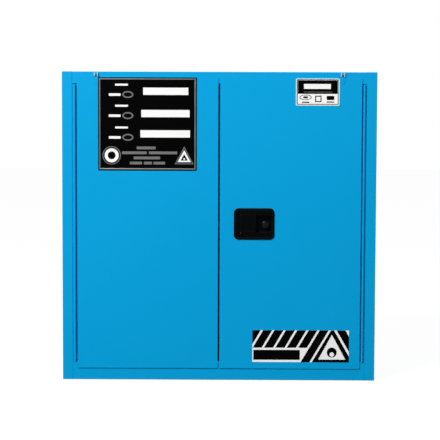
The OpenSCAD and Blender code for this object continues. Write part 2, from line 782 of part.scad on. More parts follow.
// Flap that is pulled, with the lever behind it that drives the draw plate.
module paddle() color([0.1, 0.1, 0.11]) difference() {
    union() {
        block([paddle_x, paddle_face, latch_z - paddle_h / 2],
              [paddle_x + paddle_l, paddle_face + paddle_t, latch_z + paddle_h / 2]);
        block([paddle_x + paddle_l - 4, paddle_face, latch_z - paddle_h / 2],
              [paddle_x + paddle_l, paddle_face + paddle_t + 2.5, latch_z + paddle_h / 2]);
        translate([paddle_x, paddle_y, latch_z - paddle_h / 2])
            cylinder(h = paddle_h, r = knuckle_r, $fn = fine);
        block([paddle_x - lever_t / 2, paddle_y, latch_z - lever_h / 2],
              [paddle_x + lever_t / 2, paddle_y + lever_l, latch_z + lever_h / 2]);
    }
    translate([paddle_x, paddle_y, latch_z - paddle_h / 2 - 1])
        cylinder(h = paddle_h + 2, d = paddle_pin_d + 2 * running, $fn = fine);
    translate([paddle_x, paddle_y, latch_z + spring_z - slide_gap])
        cylinder(h = spring_h + 2 * slide_gap, d = paddle_pin_d + 2 * spring_t + 3 * slide_gap, $fn = fine);
}

module paddle_pin() color("silver") translate([paddle_x, paddle_y, latch_z - paddle_h / 2 - 5])
    cylinder(h = paddle_h + 10, d = paddle_pin_d, $fn = fine);

// Return spring round the paddle's pin, as one sleeve.
module paddle_spring() color("gainsboro") translate([paddle_x, paddle_y, latch_z + spring_z]) difference() {
    cylinder(h = spring_h, d = paddle_pin_d + 2 * spring_t, $fn = fine);
    translate([0, 0, -1]) cylinder(h = spring_h + 2, d = paddle_pin_d + 0.2, $fn = fine);
}

// Lock body in the pocket's floor, with its nut.
module lock_cylinder() color("silver") translate([lock_x, 0, lock_z]) {
    difference() {
        union() {
            round_y(skin_face - 1, lock_back, lock_d);
            round_y(skin_face - 1, skin_face + 1, lock_d + 3);
        }
        round_y(skin_face - 2, lock_back + 1, plug_d + 2 * running);
    }
    difference() {
        translate([0, housing_back + 4, 0]) rotate([90, 0, 0]) cylinder(h = 4, d = lock_d + 9, $fn = 6);
        round_y(housing_back - 1, housing_back + 5, lock_d + 0.1);
    }
}

// Plug with its keyway, and on its tail the cam that hangs down when the lock is open.
module lock_plug() {
    keyway_w = 1.6;
    keyway_h = 8;
    cam_y0 = draw_y - draw_t / 2;
    cam_y1 = draw_y + draw_t / 2;
    plug_y = skin_face - 1.4;
    color("gainsboro") translate([lock_x, 0, lock_z]) {
        difference() {
            round_y(plug_y, cam_y1, plug_d);
            block([-keyway_w / 2, plug_y - 1, -keyway_h / 2], [keyway_w / 2, plug_y + 7, keyway_h / 2]);
        }
        intersection() {
            block([-plug_d / 2, cam_y0, -cam_l - 1], [plug_d / 2, cam_y1, 0]);
            round_y(cam_y0, cam_y1, 2 * cam_l);
        }
    }
}

// Plate that the lever pulls: the centre bolt is on it, its slanted slots draw the rods,
// and its nose meets the lock's cam.
module draw_plate() color("gainsboro") {
    window = lever_t / 2 + 1.2;
    translate([0, 0, latch_z]) along_y(draw_y - draw_t / 2, draw_y + draw_t / 2) difference() {
        union() {
            translate([draw_x0, -draw_half_h]) square([draw_x1 - draw_x0, 2 * draw_half_h]);
            translate([draw_x1 - 1, lock_z - latch_z - nose_h / 2]) square([nose_x - draw_x1 + 1, nose_h]);
        }
        translate([paddle_x - window, -lever_h / 2 - 1]) square([2 * window, lever_h + 2]);
        for (s = [-1, 1]) slot_2d(
            [rod_x, s * rod_pin_up],
            [rod_x - throw, s * (rod_pin_up - throw)], slot_w);
    }
    block([-x_free - bolt_grip, draw_y - centre_bolt_t / 2, latch_z - centre_bolt_h / 2],
          [draw_x0 + 12, draw_y + centre_bolt_t / 2, latch_z + centre_bolt_h / 2]);
}

// A rod with its round tip and its pin: up is 1 for the upper rod and -1 for the lower,
// and reach is the distance from the latch's middle to the tip.
module bolt_rod(up, reach) color("silver") translate([rod_x, 0, latch_z]) mirror([0, 0, up < 0 ? 1 : 0]) {
    tail = rod_pin_up - rod_tail;
    translate([0, rod_y, tail]) cylinder(h = reach - rod_d / 2 - tail, d = rod_d, $fn = fine);
    translate([0, rod_y, reach - rod_d / 2]) sphere(d = rod_d, $fn = fine);
    translate([0, 0, rod_pin_up]) round_y(draw_y - draw_t / 2 - 0.8, rod_y, rod_pin_d);
}

// ---- Shelf and trays

// Slotted channels on the side walls.
module shelf_uprights() {
    half = upright_w / 2;
    t = 1.5;
    color("gainsboro") for (s = [-1, 1], y = upright_y) difference() {
        on_side(s) translate([0, y, upright_z0]) linear_extrude(slots * slot_pitch) folded([
            [x_jamb, -half + t / 2],
            [x_jamb - upright_d + t / 2, -half + t / 2],
            [x_jamb - upright_d + t / 2, half - t / 2],
            [x_jamb, half - t / 2]], t);
        for (i = [0:slots - 1]) translate([s * (x_jamb - upright_d), y, upright_z0 + slot_pitch * (i + 0.5)])
            cube([2 * t + 2, slot_gap_w, slot_h], center = true);
    }
}

// The slot whose clip brings the shelf nearest to its height.
slot_i = min(slots - 1, max(0, round((shelf_z - clip_drop / 2 - upright_z0) / slot_pitch - 0.5)));
clip_z = upright_z0 + slot_pitch * (slot_i + 0.5);
shelf_top = clip_z + clip_drop / 2 + 1.5;
ledge_z = shelf_top - sheet;

// Clips hooked into the uprights: the shelf rests on their ledges.
module shelf_clips() {
    face = x_jamb - upright_d;
    tongue_h = slot_h - 2;
    half = upright_w / 2 - 2;
    color("silver") for (s = [-1, 1], y = upright_y) on_side(s) translate([0, y, 0]) {
        block([face - clip_t, -half, clip_z - clip_drop / 2], [face, half, ledge_z]);
        block([face - clip_ledge, -half, ledge_z - clip_t], [face, half, ledge_z]);
        block([face - 1, -slot_gap_w / 2 + slide_gap, clip_z - tongue_h / 2],
              [face + 4, slot_gap_w / 2 - slide_gap, clip_z + tongue_h / 2]);
    }
}

// Sheet shelf with its four edges turned down.
module shelf() {
    side = 10;      // the ends are turned down less, clear of the clips
    color("gainsboro") {
        block([-shelf_x, shelf_y0, ledge_z], [shelf_x, shelf_y1, shelf_top]);
        for (y = [shelf_y0, shelf_y1 - sheet])
            block([-shelf_x, y, shelf_top - shelf_edge], [shelf_x, y + sheet, ledge_z + sheet / 2]);
        for (y = [shelf_y0, shelf_y1]) block(
            [-shelf_x, y == shelf_y0 ? y : y - side, shelf_top - shelf_edge],
            [shelf_x, y == shelf_y0 ? y + side : y, shelf_top - shelf_edge + sheet]);
    }
}

// An open plastic tray with a rim, from its low corner to its high corner.
module tray(low, high) {
    rim = 4;
    difference() {
        union() {
            block(low + [rim, rim, 0], high - [rim, rim, 0]);
            block([low[0], low[1], high[2] - tray_t], high);
        }
        block(low + [rim + tray_t, rim + tray_t, tray_t], high + [-rim - tray_t, -rim - tray_t, 1]);
    }
}

module shelf_tray() color([0.13, 0.15, 0.17]) tray(
    [-shelf_x + tray_gap, shelf_y0 + tray_gap, shelf_top],
    [shelf_x - tray_gap, shelf_y1 - tray_gap, shelf_top + tray_h]);

module sump_tray() color([0.13, 0.15, 0.17]) tray(
    [-x_jamb + sheet + 2, y_inner + sheet + 2, z_sump],
    [x_jamb - sheet - 2, y_liner_back - sheet - 2, z_sump + sump_tray_h]);

// ---- Vents

// Moves what is drawn for the right vent to either vent: the left one is low and the right one high.
module at_vent(s) translate([0, vent_y, vent_z[s < 0 ? 0 : 1]]) on_side(s) children();

// Tubes through both skins, with their outer flanges.
module vent_tubes() color("silver") for (s = [-1, 1]) at_vent(s) difference() {
    union() {
        round_x(x_jamb, x_side + vent_out, vent_od);
        round_x(x_side, x_side + flange_t, vent_flange_d);
    }
    round_x(x_jamb - 1, x_side + vent_out + 1, vent_bore);
}

// Screens of square mesh in the vents' tubes.
module flame_arresters() {
    screen_d = vent_bore - 0.2;
    pitch = screen_d / 9;
    hole = pitch * 0.74;
    color("gold") for (s = [-1, 1]) at_vent(s)
        along_x(x_jamb + 8, x_jamb + 9.5) difference() {
            circle(d = screen_d, $fn = fine);
            for (i = [-4:4], j = [-4:4]) if (norm([i, j]) * pitch < screen_d / 2 - pitch)
                translate([i * pitch, j * pitch]) square(hole, center = true);
        }
}

// Drilled covers of the vents inside the cabinet.
module vent_grilles() {
    grille_t = 1.5;
    pitch = vent_od / 6;
    color("gainsboro") for (s = [-1, 1]) at_vent(s)
        along_x(x_jamb - grille_t, x_jamb) difference() {
            circle(d = vent_od + 14, $fn = fine);
            circle(d = pitch * 0.6, $fn = fine);
            for (ring = [1, 2], a = [0:60 / ring:359]) rotate(a) translate([ring * pitch, 0])
                circle(d = pitch * 0.6, $fn = fine);
        }
}

// Screw cap with a plug in the tube's bore and a bar to turn it by.
module vent_cap(s) {
    face = x_side + vent_out + slide_gap;
    bar_l = cap_d - 18;
    bar_w = 8;
    color("silver") at_vent(s) {
        round_x(face, face + cap_t, cap_d);
        round_x(face - plug_reach, face + 0.5, vent_bore - 2 * plug_gap);
        block([face + cap_t - 0.5, -bar_l / 2, -bar_w / 2], [face + cap_t + cap_grip, bar_l / 2, bar_w / 2]);
    }
}

// ---- Head brackets

// Small brackets on the head, with the pins of their rollers, above the tabs on the doors.
module roller_brackets() color("silver") for (s = [-1, 1]) on_side(s) translate([bracket_x, 0, bracket_z]) {
    block([-bracket_w / 2, -bracket_t, -bracket_h / 2], [bracket_w / 2, 0, bracket_h / 2]);
    for (x = [-bracket_w / 2, bracket_w / 2 - bracket_cheek])
        block([x, -bracket_out, -bracket_h / 2], [x + bracket_cheek, 0, bracket_h / 2]);
    translate([0, roller_y, 0]) round_x(-bracket_w / 2, bracket_w / 2, roller_pin_d);
}

module roller(s) color("gainsboro") on_side(s) translate([bracket_x, roller_y, bracket_z]) difference() {
    reach = bracket_w / 2 - bracket_cheek - slide_gap;
    round_x(-reach, reach, roller_d);
    round_x(-reach - 1, reach + 1, roller_pin_d + 2 * running);
}

// ---- Feet and earth stud

// Welded bosses and lock nuts that hold the feet.
module foot_nuts() color("silver") for (x = [-foot_x, foot_x], y = foot_y) translate([x, y, 0]) difference() {
    union() {
        translate([0, 0, z_base + sheet]) cylinder(h = foot_boss_h, d = foot_screw_d + 12, $fn = fine);
        translate([0, 0, z_base - foot_nut_h]) cylinder(h = foot_nut_h, d = foot_screw_d + 9, $fn = 6);
    }
    translate([0, 0, z_base - foot_nut_h - 1])
        cylinder(h = foot_nut_h + sheet + foot_boss_h + 2, d = foot_screw_d + 2 * running, $fn = fine);
}

// Pad and screw of one foot.
// s is 1 for right and -1 for left, and row is 0 for front and 1 for back.
module foot(s, row) translate([s * foot_x, foot_y[row], 0]) {
    color("dimgray") cylinder(h = pad_t, d1 = pad_d, d2 = pad_d * 0.7, $fn = fine);
    color("silver") {
        translate([0, 0, pad_t + seat_gap]) cylinder(h = foot_top - pad_t, d = foot_screw_d, $fn = fine);
        translate([0, 0, pad_t + seat_gap]) cylinder(h = collar_h, d = foot_screw_d + 7, $fn = 6);
    }
}

// Stud with a collar inside the wall: the free end for the bonding wire is thinner than the shank.
module earth_stud() color("goldenrod") translate([0, stud_y, stud_z]) {
    round_x(x_side - sheet, x_side + stud_out, stud_d);
    round_x(x_side - sheet, stud_step, stud_d + stud_shank);
    round_x(x_side - sheet - 4, x_side - sheet, stud_d + 8);
}

// A nut between two washers, which clamps the bonding wire.
module earth_nuts() color("silver") translate([x_side, stud_y, stud_z]) {
    bore = stud_d + stud_shank + 0.1;
    nut_x = washer_t + seat_gap;
    for (x = [0, nut_x + nut_h + seat_gap]) difference() {
        round_x(x, x + washer_t, stud_d + 10);
        round_x(x - 1, x + washer_t + 1, bore);
    }
    translate([nut_x, 0, 0]) rotate([0, 90, 0]) difference() {
        cylinder(h = nut_h, d = stud_d * 1.85, $fn = 6);
        translate([0, 0, -1]) cylinder(h = nut_h + 2, d = bore, $fn = fine);
    }
}

// ---- Nodes

place() outer_side(-1);  // outer_side_left
place() outer_side(1);  // outer_side_right
place() outer_top();
place() outer_back();
place() bottom_rail();
place() base_pan();
place() inner_side(-1);  // inner_side_left
place() inner_side(1);  // inner_side_right
place() inner_top();
place() inner_back();
place() sump_pan();
place() floor_stringers();
place() wall_spacers();
place() rod_keepers();
place() door_buffers();
place() hinge_frame_leaves();
place() hinge_pins();
place() frame_leaf_rivets();
place() shelf_uprights();
place() shelf_clips();
place() shelf();
place() shelf_tray();
place() sump_tray();
place() vent_tubes();
place() flame_arresters();
place() vent_grilles();
place() vent_cap(-1);  // vent_cap_left
place() vent_cap(1);  // vent_cap_right
place() roller_brackets();
place() roller(-1);  // roller_left
place() roller(1);  // roller_right
place() foot_nuts();
place() foot(-1, 0);  // foot_front_left
place() foot(1, 0);  // foot_front_right
place() foot(-1, 1);  // foot_back_left
place() foot(1, 1);  // foot_back_right
place() earth_stud();
place() earth_nuts();
place() door_skin(-1);  // door_skin_left
place() door_liner(-1);  // door_liner_left
place() hinge_door_leaf(-1);  // hinge_door_leaf_left
place() centre_keeper();
place() sign_frame();
place() sign_plate();
place() door_skin(1);  // door_skin_right
place() door_liner(1);  // door_liner_right
place() hinge_door_leaf(1);  // hinge_door_leaf_right
place() rating_plate();
place() striped_strip();
place() latch_housing();
place() latch_mounting();
place() latch_guides();
place() paddle();
place() paddle_pin();
place() paddle_spring();
place() lock_cylinder();
place() lock_plug();
place() draw_plate();
place() bolt_rod(1, z_head + bolt_grip - latch_z);  // bolt_rod_upper
place() bolt_rod(-1, latch_z - z_sill + bolt_grip);  // bolt_rod_lower
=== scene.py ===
import math
import bmesh
import bpy
import numpy as np
from mathutils import Matrix, Vector


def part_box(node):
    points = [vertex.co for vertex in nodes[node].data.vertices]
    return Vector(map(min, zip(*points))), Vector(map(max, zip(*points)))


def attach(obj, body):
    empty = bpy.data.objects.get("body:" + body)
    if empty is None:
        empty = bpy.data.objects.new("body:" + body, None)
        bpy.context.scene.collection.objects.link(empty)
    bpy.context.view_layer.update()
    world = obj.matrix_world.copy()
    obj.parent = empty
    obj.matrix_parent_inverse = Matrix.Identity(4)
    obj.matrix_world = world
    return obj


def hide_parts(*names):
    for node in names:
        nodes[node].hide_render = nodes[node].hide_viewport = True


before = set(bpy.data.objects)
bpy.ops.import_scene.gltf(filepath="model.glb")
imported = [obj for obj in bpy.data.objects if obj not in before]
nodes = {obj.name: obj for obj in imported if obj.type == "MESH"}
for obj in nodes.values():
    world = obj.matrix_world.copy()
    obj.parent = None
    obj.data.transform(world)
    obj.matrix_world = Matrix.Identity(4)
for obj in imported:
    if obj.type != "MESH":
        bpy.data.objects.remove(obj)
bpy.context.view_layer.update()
print("frame loaded:", len(nodes), "nodes")

mm = 0.001
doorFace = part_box("sign_frame")[1].y / mm       # front of the doors, where the signs lie
meshing = {"weld": 2e-6,                        # points nearer than this many metres become one
           "sharpAngle": 32.0,                  # degrees from which an edge of a new piece stays sharp
           "nodeSharpAngle": 33.0,              # the same for the CAD nodes
           "flatAngle": 0.5}                    # degrees within which faces of a CAD node become one


def boxInMm(node):
    low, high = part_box(node)
    return np.array(low) / mm, np.array(high) / mm


# Middle and half size of a box in the two directions across an axis.
def across(low, high, axis):
    keep = [i for i in range(3) if "xyz"[i] != axis]
    return (low + high)[keep] / 2, (high - low)[keep] / 2


# Shapes: every surface is a stack of loops in millimetres, worked out with numpy.

# Rounded rectangle: four quarter circles of the corner radius, joined by straight runs.
def roundedOutline(centre, halfSize, radius, perCorner=8):
    radius = max(min(radius, halfSize[0], halfSize[1]), 0.02)
    turn = np.linspace(0, math.pi / 2, perCorner)[None, :] + (np.arange(4) * math.pi / 2)[:, None]
    corners = np.array([[1, 1], [-1, 1], [-1, -1], [1, -1]]) * (np.array(halfSize) - radius)
    ring = corners[:, None, :] + radius * np.stack([np.cos(turn), np.sin(turn)], -1)
    return ring.reshape(-1, 2) + np.array(centre)


# Puts an outline in space: it lies across the named axis, at the given depth along it.
def lift(outline, depth, axis):
    return np.insert(outline, "xyz".index(axis), depth, axis=1)


# Loops of rounded rectangles: each section is (inset, depth), and the outline shrinks by its inset.
def insetLoops(centre, halfSize, radius, sections, axis, perCorner=8):
    half = np.array(halfSize, float)
    return np.array([
        lift(roundedOutline(centre, half - inset, max(radius - inset, 0.3), perCorner), depth, axis)
        for inset, depth in sections])


# Quarter circle from a side round to a face, as (inset, depth) pairs. The body lies beyond the face
# in the given way, 1 for larger depths and -1 for smaller ones.
def quarter(radius, face, way=1, steps=6, inset=0.0):
    angle = np.linspace(0, math.pi / 2, steps)
    return [(inset + radius * (1 - math.cos(a)), face + way * radius * (1 - math.sin(a))) for a in angle]


# Skin over neighbouring loops: point j of one loop joins point j of the next. Open stacks get end fans.
def stackShell(loops, closed=False):
    count, around = loops.shape[:2]
    points = loops.reshape(-1, 3)
    row = np.arange(count if closed else count - 1)[:, None] * around
    here = np.arange(around)[None, :]
    after = (here + 1) % around
    wrap = count * around
    quads = np.stack([row + here, row + after, (row + around + after) % wrap,
                      (row + around + here) % wrap], -1)
    faces = quads.reshape(-1, 4).tolist()
    if not closed:
        ends = np.stack([loops[0].mean(0), loops[-1].mean(0)])
        points = np.vstack([points, ends])
        last = (count - 1) * around
        j = np.arange(around)
        k = (j + 1) % around
        faces += np.stack([k, j, np.full(around, wrap)], -1).tolist()
        faces += np.stack([last + j, last + k, np.full(around, wrap + 1)], -1).tolist()
    return points, faces


# Block with round corners and round edges: quarter circles lead from each side to each end face.
def slab(low, high, axis, corner=1.0, edge=0.5, steps=4, perCorner=6):
    low, high = np.array(low, float), np.array(high, float)
    centre, half = across(low, high, axis)
    along = "xyz".index(axis)
    sections = quarter(edge, low[along], 1, steps)[::-1] + quarter(edge, high[along], -1, steps)
    return stackShell(insetLoops(centre, half, corner, sections, axis, perCorner))


# Turned part: a profile of (radius, depth) carried round the axis. A closed profile leaves a bore.
def turned(centre, profile, axis, closed=False, around=48):
    angle = np.arange(around) * 2 * math.pi / around
    circle = np.stack([np.cos(angle), np.sin(angle)], -1)
    loops = np.array([lift(circle * radius + np.array(centre), depth, axis) for radius, depth in profile])
    return stackShell(loops, closed)


# Thread: the radius falls by a triangle wave of height plus angle, so that the ridge winds up the rod.
def threaded(centre, radius, start, end, pitch, depth, axis, around=36, perTurn=5):
    rows = max(int((end - start) / pitch * perTurn), 6)
    along = np.linspace(start, end, rows)[:, None]
    angle = (np.arange(around) * 2 * math.pi / around)[None, :]
    wave = np.abs(2 * np.mod(along / pitch - angle / (2 * math.pi), 1) - 1)
    ends = np.clip(np.minimum(along - start, end - along) / pitch, 0, 1)
    reach = radius - depth * (1 - wave * ends)
    flat = np.stack([reach * np.cos(angle) + centre[0], reach * np.sin(angle) + centre[1]], -1)
    return stackShell(np.array([lift(flat[i], along[i, 0], axis) for i in range(rows)]))


# Flat print: a polygon, seen from the front, becomes a thin prism between two depths.
def printShell(polygon, front, back):
    outline = np.array(polygon, float)
    count = len(outline)
    points = np.vstack([lift(outline, front, "y"), lift(outline, back, "y")])
    j = np.arange(count)
    k = (j + 1) % count
    faces = np.stack([j, k, k + count, j + count], -1).tolist()
    return points, faces + [j.tolist(), (j[::-1] + count).tolist()]


# Upright rectangle of a print, from its left, right, lower and upper edges.
def bar(left, right, bottom, top):
    return np.array([(left, bottom), (right, bottom), (right, top), (left, top)], float)


# Circle of a print: the cosine and sine of equal steps, times the radius.
def ringPoints(centre, radius, count=40):
    angle = np.arange(count) * 2 * math.pi / count
    return np.stack([np.cos(angle), np.sin(angle)], -1) * radius + np.array(centre)


# Triangle of a print over a place: half as wide as its foot, from the foot's height to the tip's.
def triangle(place, half, foot, tip):
    return np.array([(-half, foot), (half, foot), (0, tip)]) + np.array(place)


# Band between two outlines with as many points: one print polygon for each pair of neighbours.
def band(outer, inner):
    count = len(outer)
    return [[outer[i], outer[(i + 1) % count], inner[(i + 1) % count], inner[i]] for i in range(count)]


# Meshes and objects.

def smoothMesh(mesh):
    mesh.shade_smooth()
    mesh.set_sharp_from_angle(angle=math.radians(meshing["sharpAngle"]))
    return mesh


# One mesh of several shells: doubled points are joined, the inner walls between shells that touch are
# taken out, and the faces are turned outwards. A wall is inner where each of its edges has a third face.
def meshFrom(name, shells):
    points, faces, start = [], [], 0
    for shellPoints, shellFaces in shells:
        points.append(shellPoints * mm)
        faces += [[v + start for v in face] for face in shellFaces]
        start += len(shellPoints)
    mesh = bpy.data.meshes.new(name)
    mesh.from_pydata(np.vstack(points).tolist(), [], faces)
    tidy = bmesh.new()
    tidy.from_mesh(mesh)
    bmesh.ops.remove_doubles(tidy, verts=tidy.verts, dist=meshing["weld"])
    innerWalls = [face for face in tidy.faces if all(len(edge.link_faces) > 2 for edge in face.edges)]
    bmesh.ops.delete(tidy, geom=innerWalls, context="FACES_ONLY")
    bmesh.ops.recalc_face_normals(tidy, faces=tidy.faces)
    tidy.to_mesh(mesh)
    tidy.free()
    return smoothMesh(mesh)


# Makes a mesh a piece: its finish, the body that it rides on and the nodes that it stands for.
def addPiece(name, mesh, finish, body, replaced=()):
    mesh.materials.clear()
    mesh.materials.append(materials[finish])
    piece = bpy.data.objects.new(name, mesh)
    bpy.context.scene.collection.objects.link(piece)
    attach(piece, body)
    if replaced:
        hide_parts(*replaced)
    steadyNormals(piece)
    return piece


# Joins or cuts closed meshes and returns the result as a new mesh.
def combined(name, base, others, operation):
    scene = bpy.context.scene
    holder = bpy.data.objects.new(name, base)
    scene.collection.objects.link(holder)
    helpers = []
    for other in others:
        helper = bpy.data.objects.new(name + "Helper", other)
        scene.collection.objects.link(helper)
        helpers.append(helper)
        step = holder.modifiers.new("combine", "BOOLEAN")
        step.operation = operation
        step.solver = "EXACT"
        step.object = helper
    bpy.context.view_layer.update()
    graph = bpy.context.evaluated_depsgraph_get()
    result = bpy.data.meshes.new_from_object(holder.evaluated_get(graph))
    result.name = name
    for gone in helpers + [holder]:
        bpy.data.objects.remove(gone)
    return smoothMesh(result)


# Eases the edges. On a new piece it moves ahead of the modifier that sets the normals.
def roundEdges(piece, width, segments=2, limit=35):
    soft = piece.modifiers.new("roundEdges", "BEVEL")
    if piece.modifiers[0].type == "WEIGHTED_NORMAL":
        piece.modifiers.move(len(piece.modifiers) - 1, 0)
    soft.width = width * mm
    soft.segments = segments
    soft.limit_method = "ANGLE"
    soft.angle_limit = math.radians(limit)
    soft.use_clamp_overlap = True


# Weighs normals by face area, so that a large flat face stays flat beside its rounded edges.
def steadyNormals(piece):
    steady = piece.modifiers.new("steadyNormals", "WEIGHTED_NORMAL")
    steady.keep_sharp = True
    steady.weight = 100


# Nodes: what the geometry groups, the shader groups and the materials share.

# Node group with its sockets, each given as (label, kind) or (label, kind, value).
def newGroup(tree, name, inputs, outputs):
    group = bpy.data.node_groups.new(name, tree)
    for way, sockets in (("INPUT", inputs), ("OUTPUT", outputs)):
        for label, kind, *value in sockets:
            made = group.interface.new_socket(label, in_out=way, socket_type="NodeSocket" + kind)
            if value:
                made.default_value = value[0]
    return group, group.nodes.new("NodeGroupInput"), group.nodes.new("NodeGroupOutput")


def addNode(tree, kind, inputs=None, **settings):
    node = tree.nodes.new(kind)
    for key, value in settings.items():
        setattr(node, key, value)
    for key, value in (inputs or {}).items():
        node.inputs[key].default_value = value
    return node


# Feeds a socket from another node's output, or sets it to a plain value.
def feed(tree, socket, value):
    if hasattr(value, "is_linked"):
        tree.links.new(value, socket)
    else:
        socket.default_value = value


def mathNode(tree, operation, first, second, clamp=False):
    node = addNode(tree, "ShaderNodeMath", operation=operation, use_clamp=clamp)
    feed(tree, node.inputs[0], first)
    feed(tree, node.inputs[1], second)
    return node.outputs[0]


# Joins doubled points and drops the flat normals that the frame came with.
def makeShellPrep():
    group, start, end = newGroup("GeometryNodeTree", "shellPrep", [("Geometry", "Geometry")],
                                 [("Geometry", "Geometry")])
    link = group.links.new
    drop = addNode(group, "GeometryNodeRemoveAttribute", {"Name": "custom_normal"})
    join = addNode(group, "GeometryNodeMergeByDistance", {"Distance": meshing["weld"]})
    link(start.outputs[0], drop.inputs["Geometry"])
    link(drop.outputs[0], join.inputs["Geometry"])
    link(join.outputs[0], end.inputs[0])
    return group


# Makes the faces smooth and keeps the edges above an angle sharp.
def makeSoftShade():
    group, start, end = newGroup("GeometryNodeTree", "softShade", [("Geometry", "Geometry")],
                                 [("Geometry", "Geometry")])
    link = group.links.new
    smooth = addNode(group, "GeometryNodeSetShadeSmooth", domain="FACE")
    sharp = addNode(group, "GeometryNodeSetShadeSmooth", {"Shade Smooth": False}, domain="EDGE")
    angle = addNode(group, "GeometryNodeInputMeshEdgeAngle")
    over = addNode(group, "FunctionNodeCompare", {1: math.radians(meshing["nodeSharpAngle"])},
                   data_type="FLOAT", operation="GREATER_THAN")
    link(start.outputs[0], smooth.inputs["Geometry"])
    link(smooth.outputs[0], sharp.inputs["Geometry"])
    link(angle.outputs["Unsigned Angle"], over.inputs[0])
    link(over.outputs[0], sharp.inputs["Selection"])
    link(sharp.outputs[0], end.inputs[0])
    return group


# Paint skin: fine ripples for the relief, and a slow mottle for the colour.
def makePaintSkin():
    group, start, end = newGroup("ShaderNodeTree", "paintSkin",
                                 [("Vector", "Vector"), ("Ripple", "Float", 420.0)],
                                 [("Height", "Float"), ("Mottle", "Float")])
    link = group.links.new
    fine = addNode(group, "ShaderNodeTexNoise", {"Detail": 2.0, "Roughness": 0.5})
    slow = addNode(group, "ShaderNodeTexNoise", {"Scale": 2.4, "Detail": 3.0, "Roughness": 0.55})
    for texture in (fine, slow):
        link(start.outputs["Vector"], texture.inputs["Vector"])
    link(start.outputs["Ripple"], fine.inputs["Scale"])
    link(fine.outputs["Fac"], end.inputs["Height"])
    link(slow.outputs["Fac"], end.inputs["Mottle"])
    return group


# Edge wear and painted edge highlight: where a rounded normal leaves the true one, broken up by noise. On the
# black latch this mask paints a highlight along the edges.
def makeEdgeWearAndHighlight():
    group, start, end = newGroup("ShaderNodeTree", "edgeWearAndHighlight",
                                 [("Vector", "Vector"), ("Radius", "Float", 0.0015),
                                  ("Amount", "Float", 1.0)], [("Mask", "Float")])
    link = group.links.new
    rounded = addNode(group, "ShaderNodeBevel", samples=4)
    link(start.outputs["Radius"], rounded.inputs["Radius"])
    true = addNode(group, "ShaderNodeNewGeometry")
    dot = addNode(group, "ShaderNodeVectorMath", operation="DOT_PRODUCT")
    link(rounded.outputs["Normal"], dot.inputs[0])
    link(true.outputs["Normal"], dot.inputs[1])
    bend = mathNode(group, "SUBTRACT", 1.0, dot.outputs["Value"])
    noise = addNode(group, "ShaderNodeTexNoise", {"Scale": 60.0, "Detail": 4.0, "Roughness": 0.65})
    link(start.outputs["Vector"], noise.inputs["Vector"])
    broken = mathNode(group, "MULTIPLY", mathNode(group, "MULTIPLY", bend, 5.0, True), noise.outputs["Fac"])
    link(mathNode(group, "MULTIPLY", broken, start.outputs["Amount"], True), end.inputs["Mask"])
    return group


# Dust: settles on what faces up, in soft patches.
def makeDust():
    group, start, end = newGroup("ShaderNodeTree", "dustVeil",
                                 [("Vector", "Vector"), ("Amount", "Float", 0.2)], [("Mask", "Float")])
    link = group.links.new
    true = addNode(group, "ShaderNodeNewGeometry")
    split = addNode(group, "ShaderNodeSeparateXYZ")
    link(true.outputs["Normal"], split.inputs[0])
    up = mathNode(group, "MULTIPLY", mathNode(group, "SUBTRACT", split.outputs["Z"], 0.6, True), 2.5, True)
    noise = addNode(group, "ShaderNodeTexNoise", {"Scale": 14.0, "Detail": 5.0, "Roughness": 0.7})
    link(start.outputs["Vector"], noise.inputs["Vector"])
    patch = mathNode(group, "MULTIPLY", up, noise.outputs["Fac"])
    link(mathNode(group, "MULTIPLY", patch, start.outputs["Amount"], True), end.inputs["Mask"])
    return group


# Metal grain: noise drawn out along one direction by a stretch in each axis.
def makeMetalGrain():
    group, start, end = newGroup("ShaderNodeTree", "metalGrain",
                                 [("Vector", "Vector"), ("Stretch", "Vector", (40, 40, 1500)),
                                  ("Low", "Float", 0.25), ("High", "Float", 0.45)],
                                 [("Roughness", "Float"), ("Height", "Float")])
    link = group.links.new
    drawn = addNode(group, "ShaderNodeVectorMath", operation="MULTIPLY")
    link(start.outputs["Vector"], drawn.inputs[0])
    link(start.outputs["Stretch"], drawn.inputs[1])
    noise = addNode(group, "ShaderNodeTexNoise", {"Scale": 1.0, "Detail": 3.0, "Roughness": 0.6})
    link(drawn.outputs[0], noise.inputs["Vector"])
    spread = addNode(group, "ShaderNodeMapRange")
    link(noise.outputs["Fac"], spread.inputs["Value"])
    link(start.outputs["Low"], spread.inputs["To Min"])
    link(start.outputs["High"], spread.inputs["To Max"])
    link(spread.outputs[0], end.inputs["Roughness"])
    link(noise.outputs["Fac"], end.inputs["Height"])
    return group


# Spangle: the flat crystals of hot-dip zinc, each with its own shade.
def makeSpangle():
    group, start, end = newGroup("ShaderNodeTree", "spangle",
                                 [("Vector", "Vector"), ("Scale", "Float", 90.0)], [("Shade", "Float")])
    link = group.links.new
    cells = addNode(group, "ShaderNodeTexVoronoi", {"Randomness": 1.0})
    link(start.outputs["Vector"], cells.inputs["Vector"])
    link(start.outputs["Scale"], cells.inputs["Scale"])
    split = addNode(group, "ShaderNodeSeparateXYZ")
    link(cells.outputs["Color"], split.inputs[0])
    link(split.outputs["X"], end.inputs["Shade"])
    return group


shellPrep, softShade = makeShellPrep(), makeSoftShade()
paintSkin, edgeWearAndHighlight, dustVeil = makePaintSkin(), makeEdgeWearAndHighlight(), makeDust()
metalGrain, spangle = makeMetalGrain(), makeSpangle()


# Starts a material: its Principled shader with the plain settings, and the object's coordinates.
def newMaterial(name, colour, roughness, metallic=0.0, specular=0.5):
    material = bpy.data.materials.new(name)
    material.use_nodes = True
    tree = material.node_tree
    shader = tree.nodes["Principled BSDF"]
    shader.inputs["Base Color"].default_value = (*colour, 1)
    shader.inputs["Roughness"].default_value = roughness
    shader.inputs["Metallic"].default_value = metallic
    shader.inputs["Specular IOR Level"].default_value = specular
    material.diffuse_color = (*colour, 1)
    place = tree.nodes.new("ShaderNodeTexCoord").outputs["Object"]
    return material, tree, shader, place


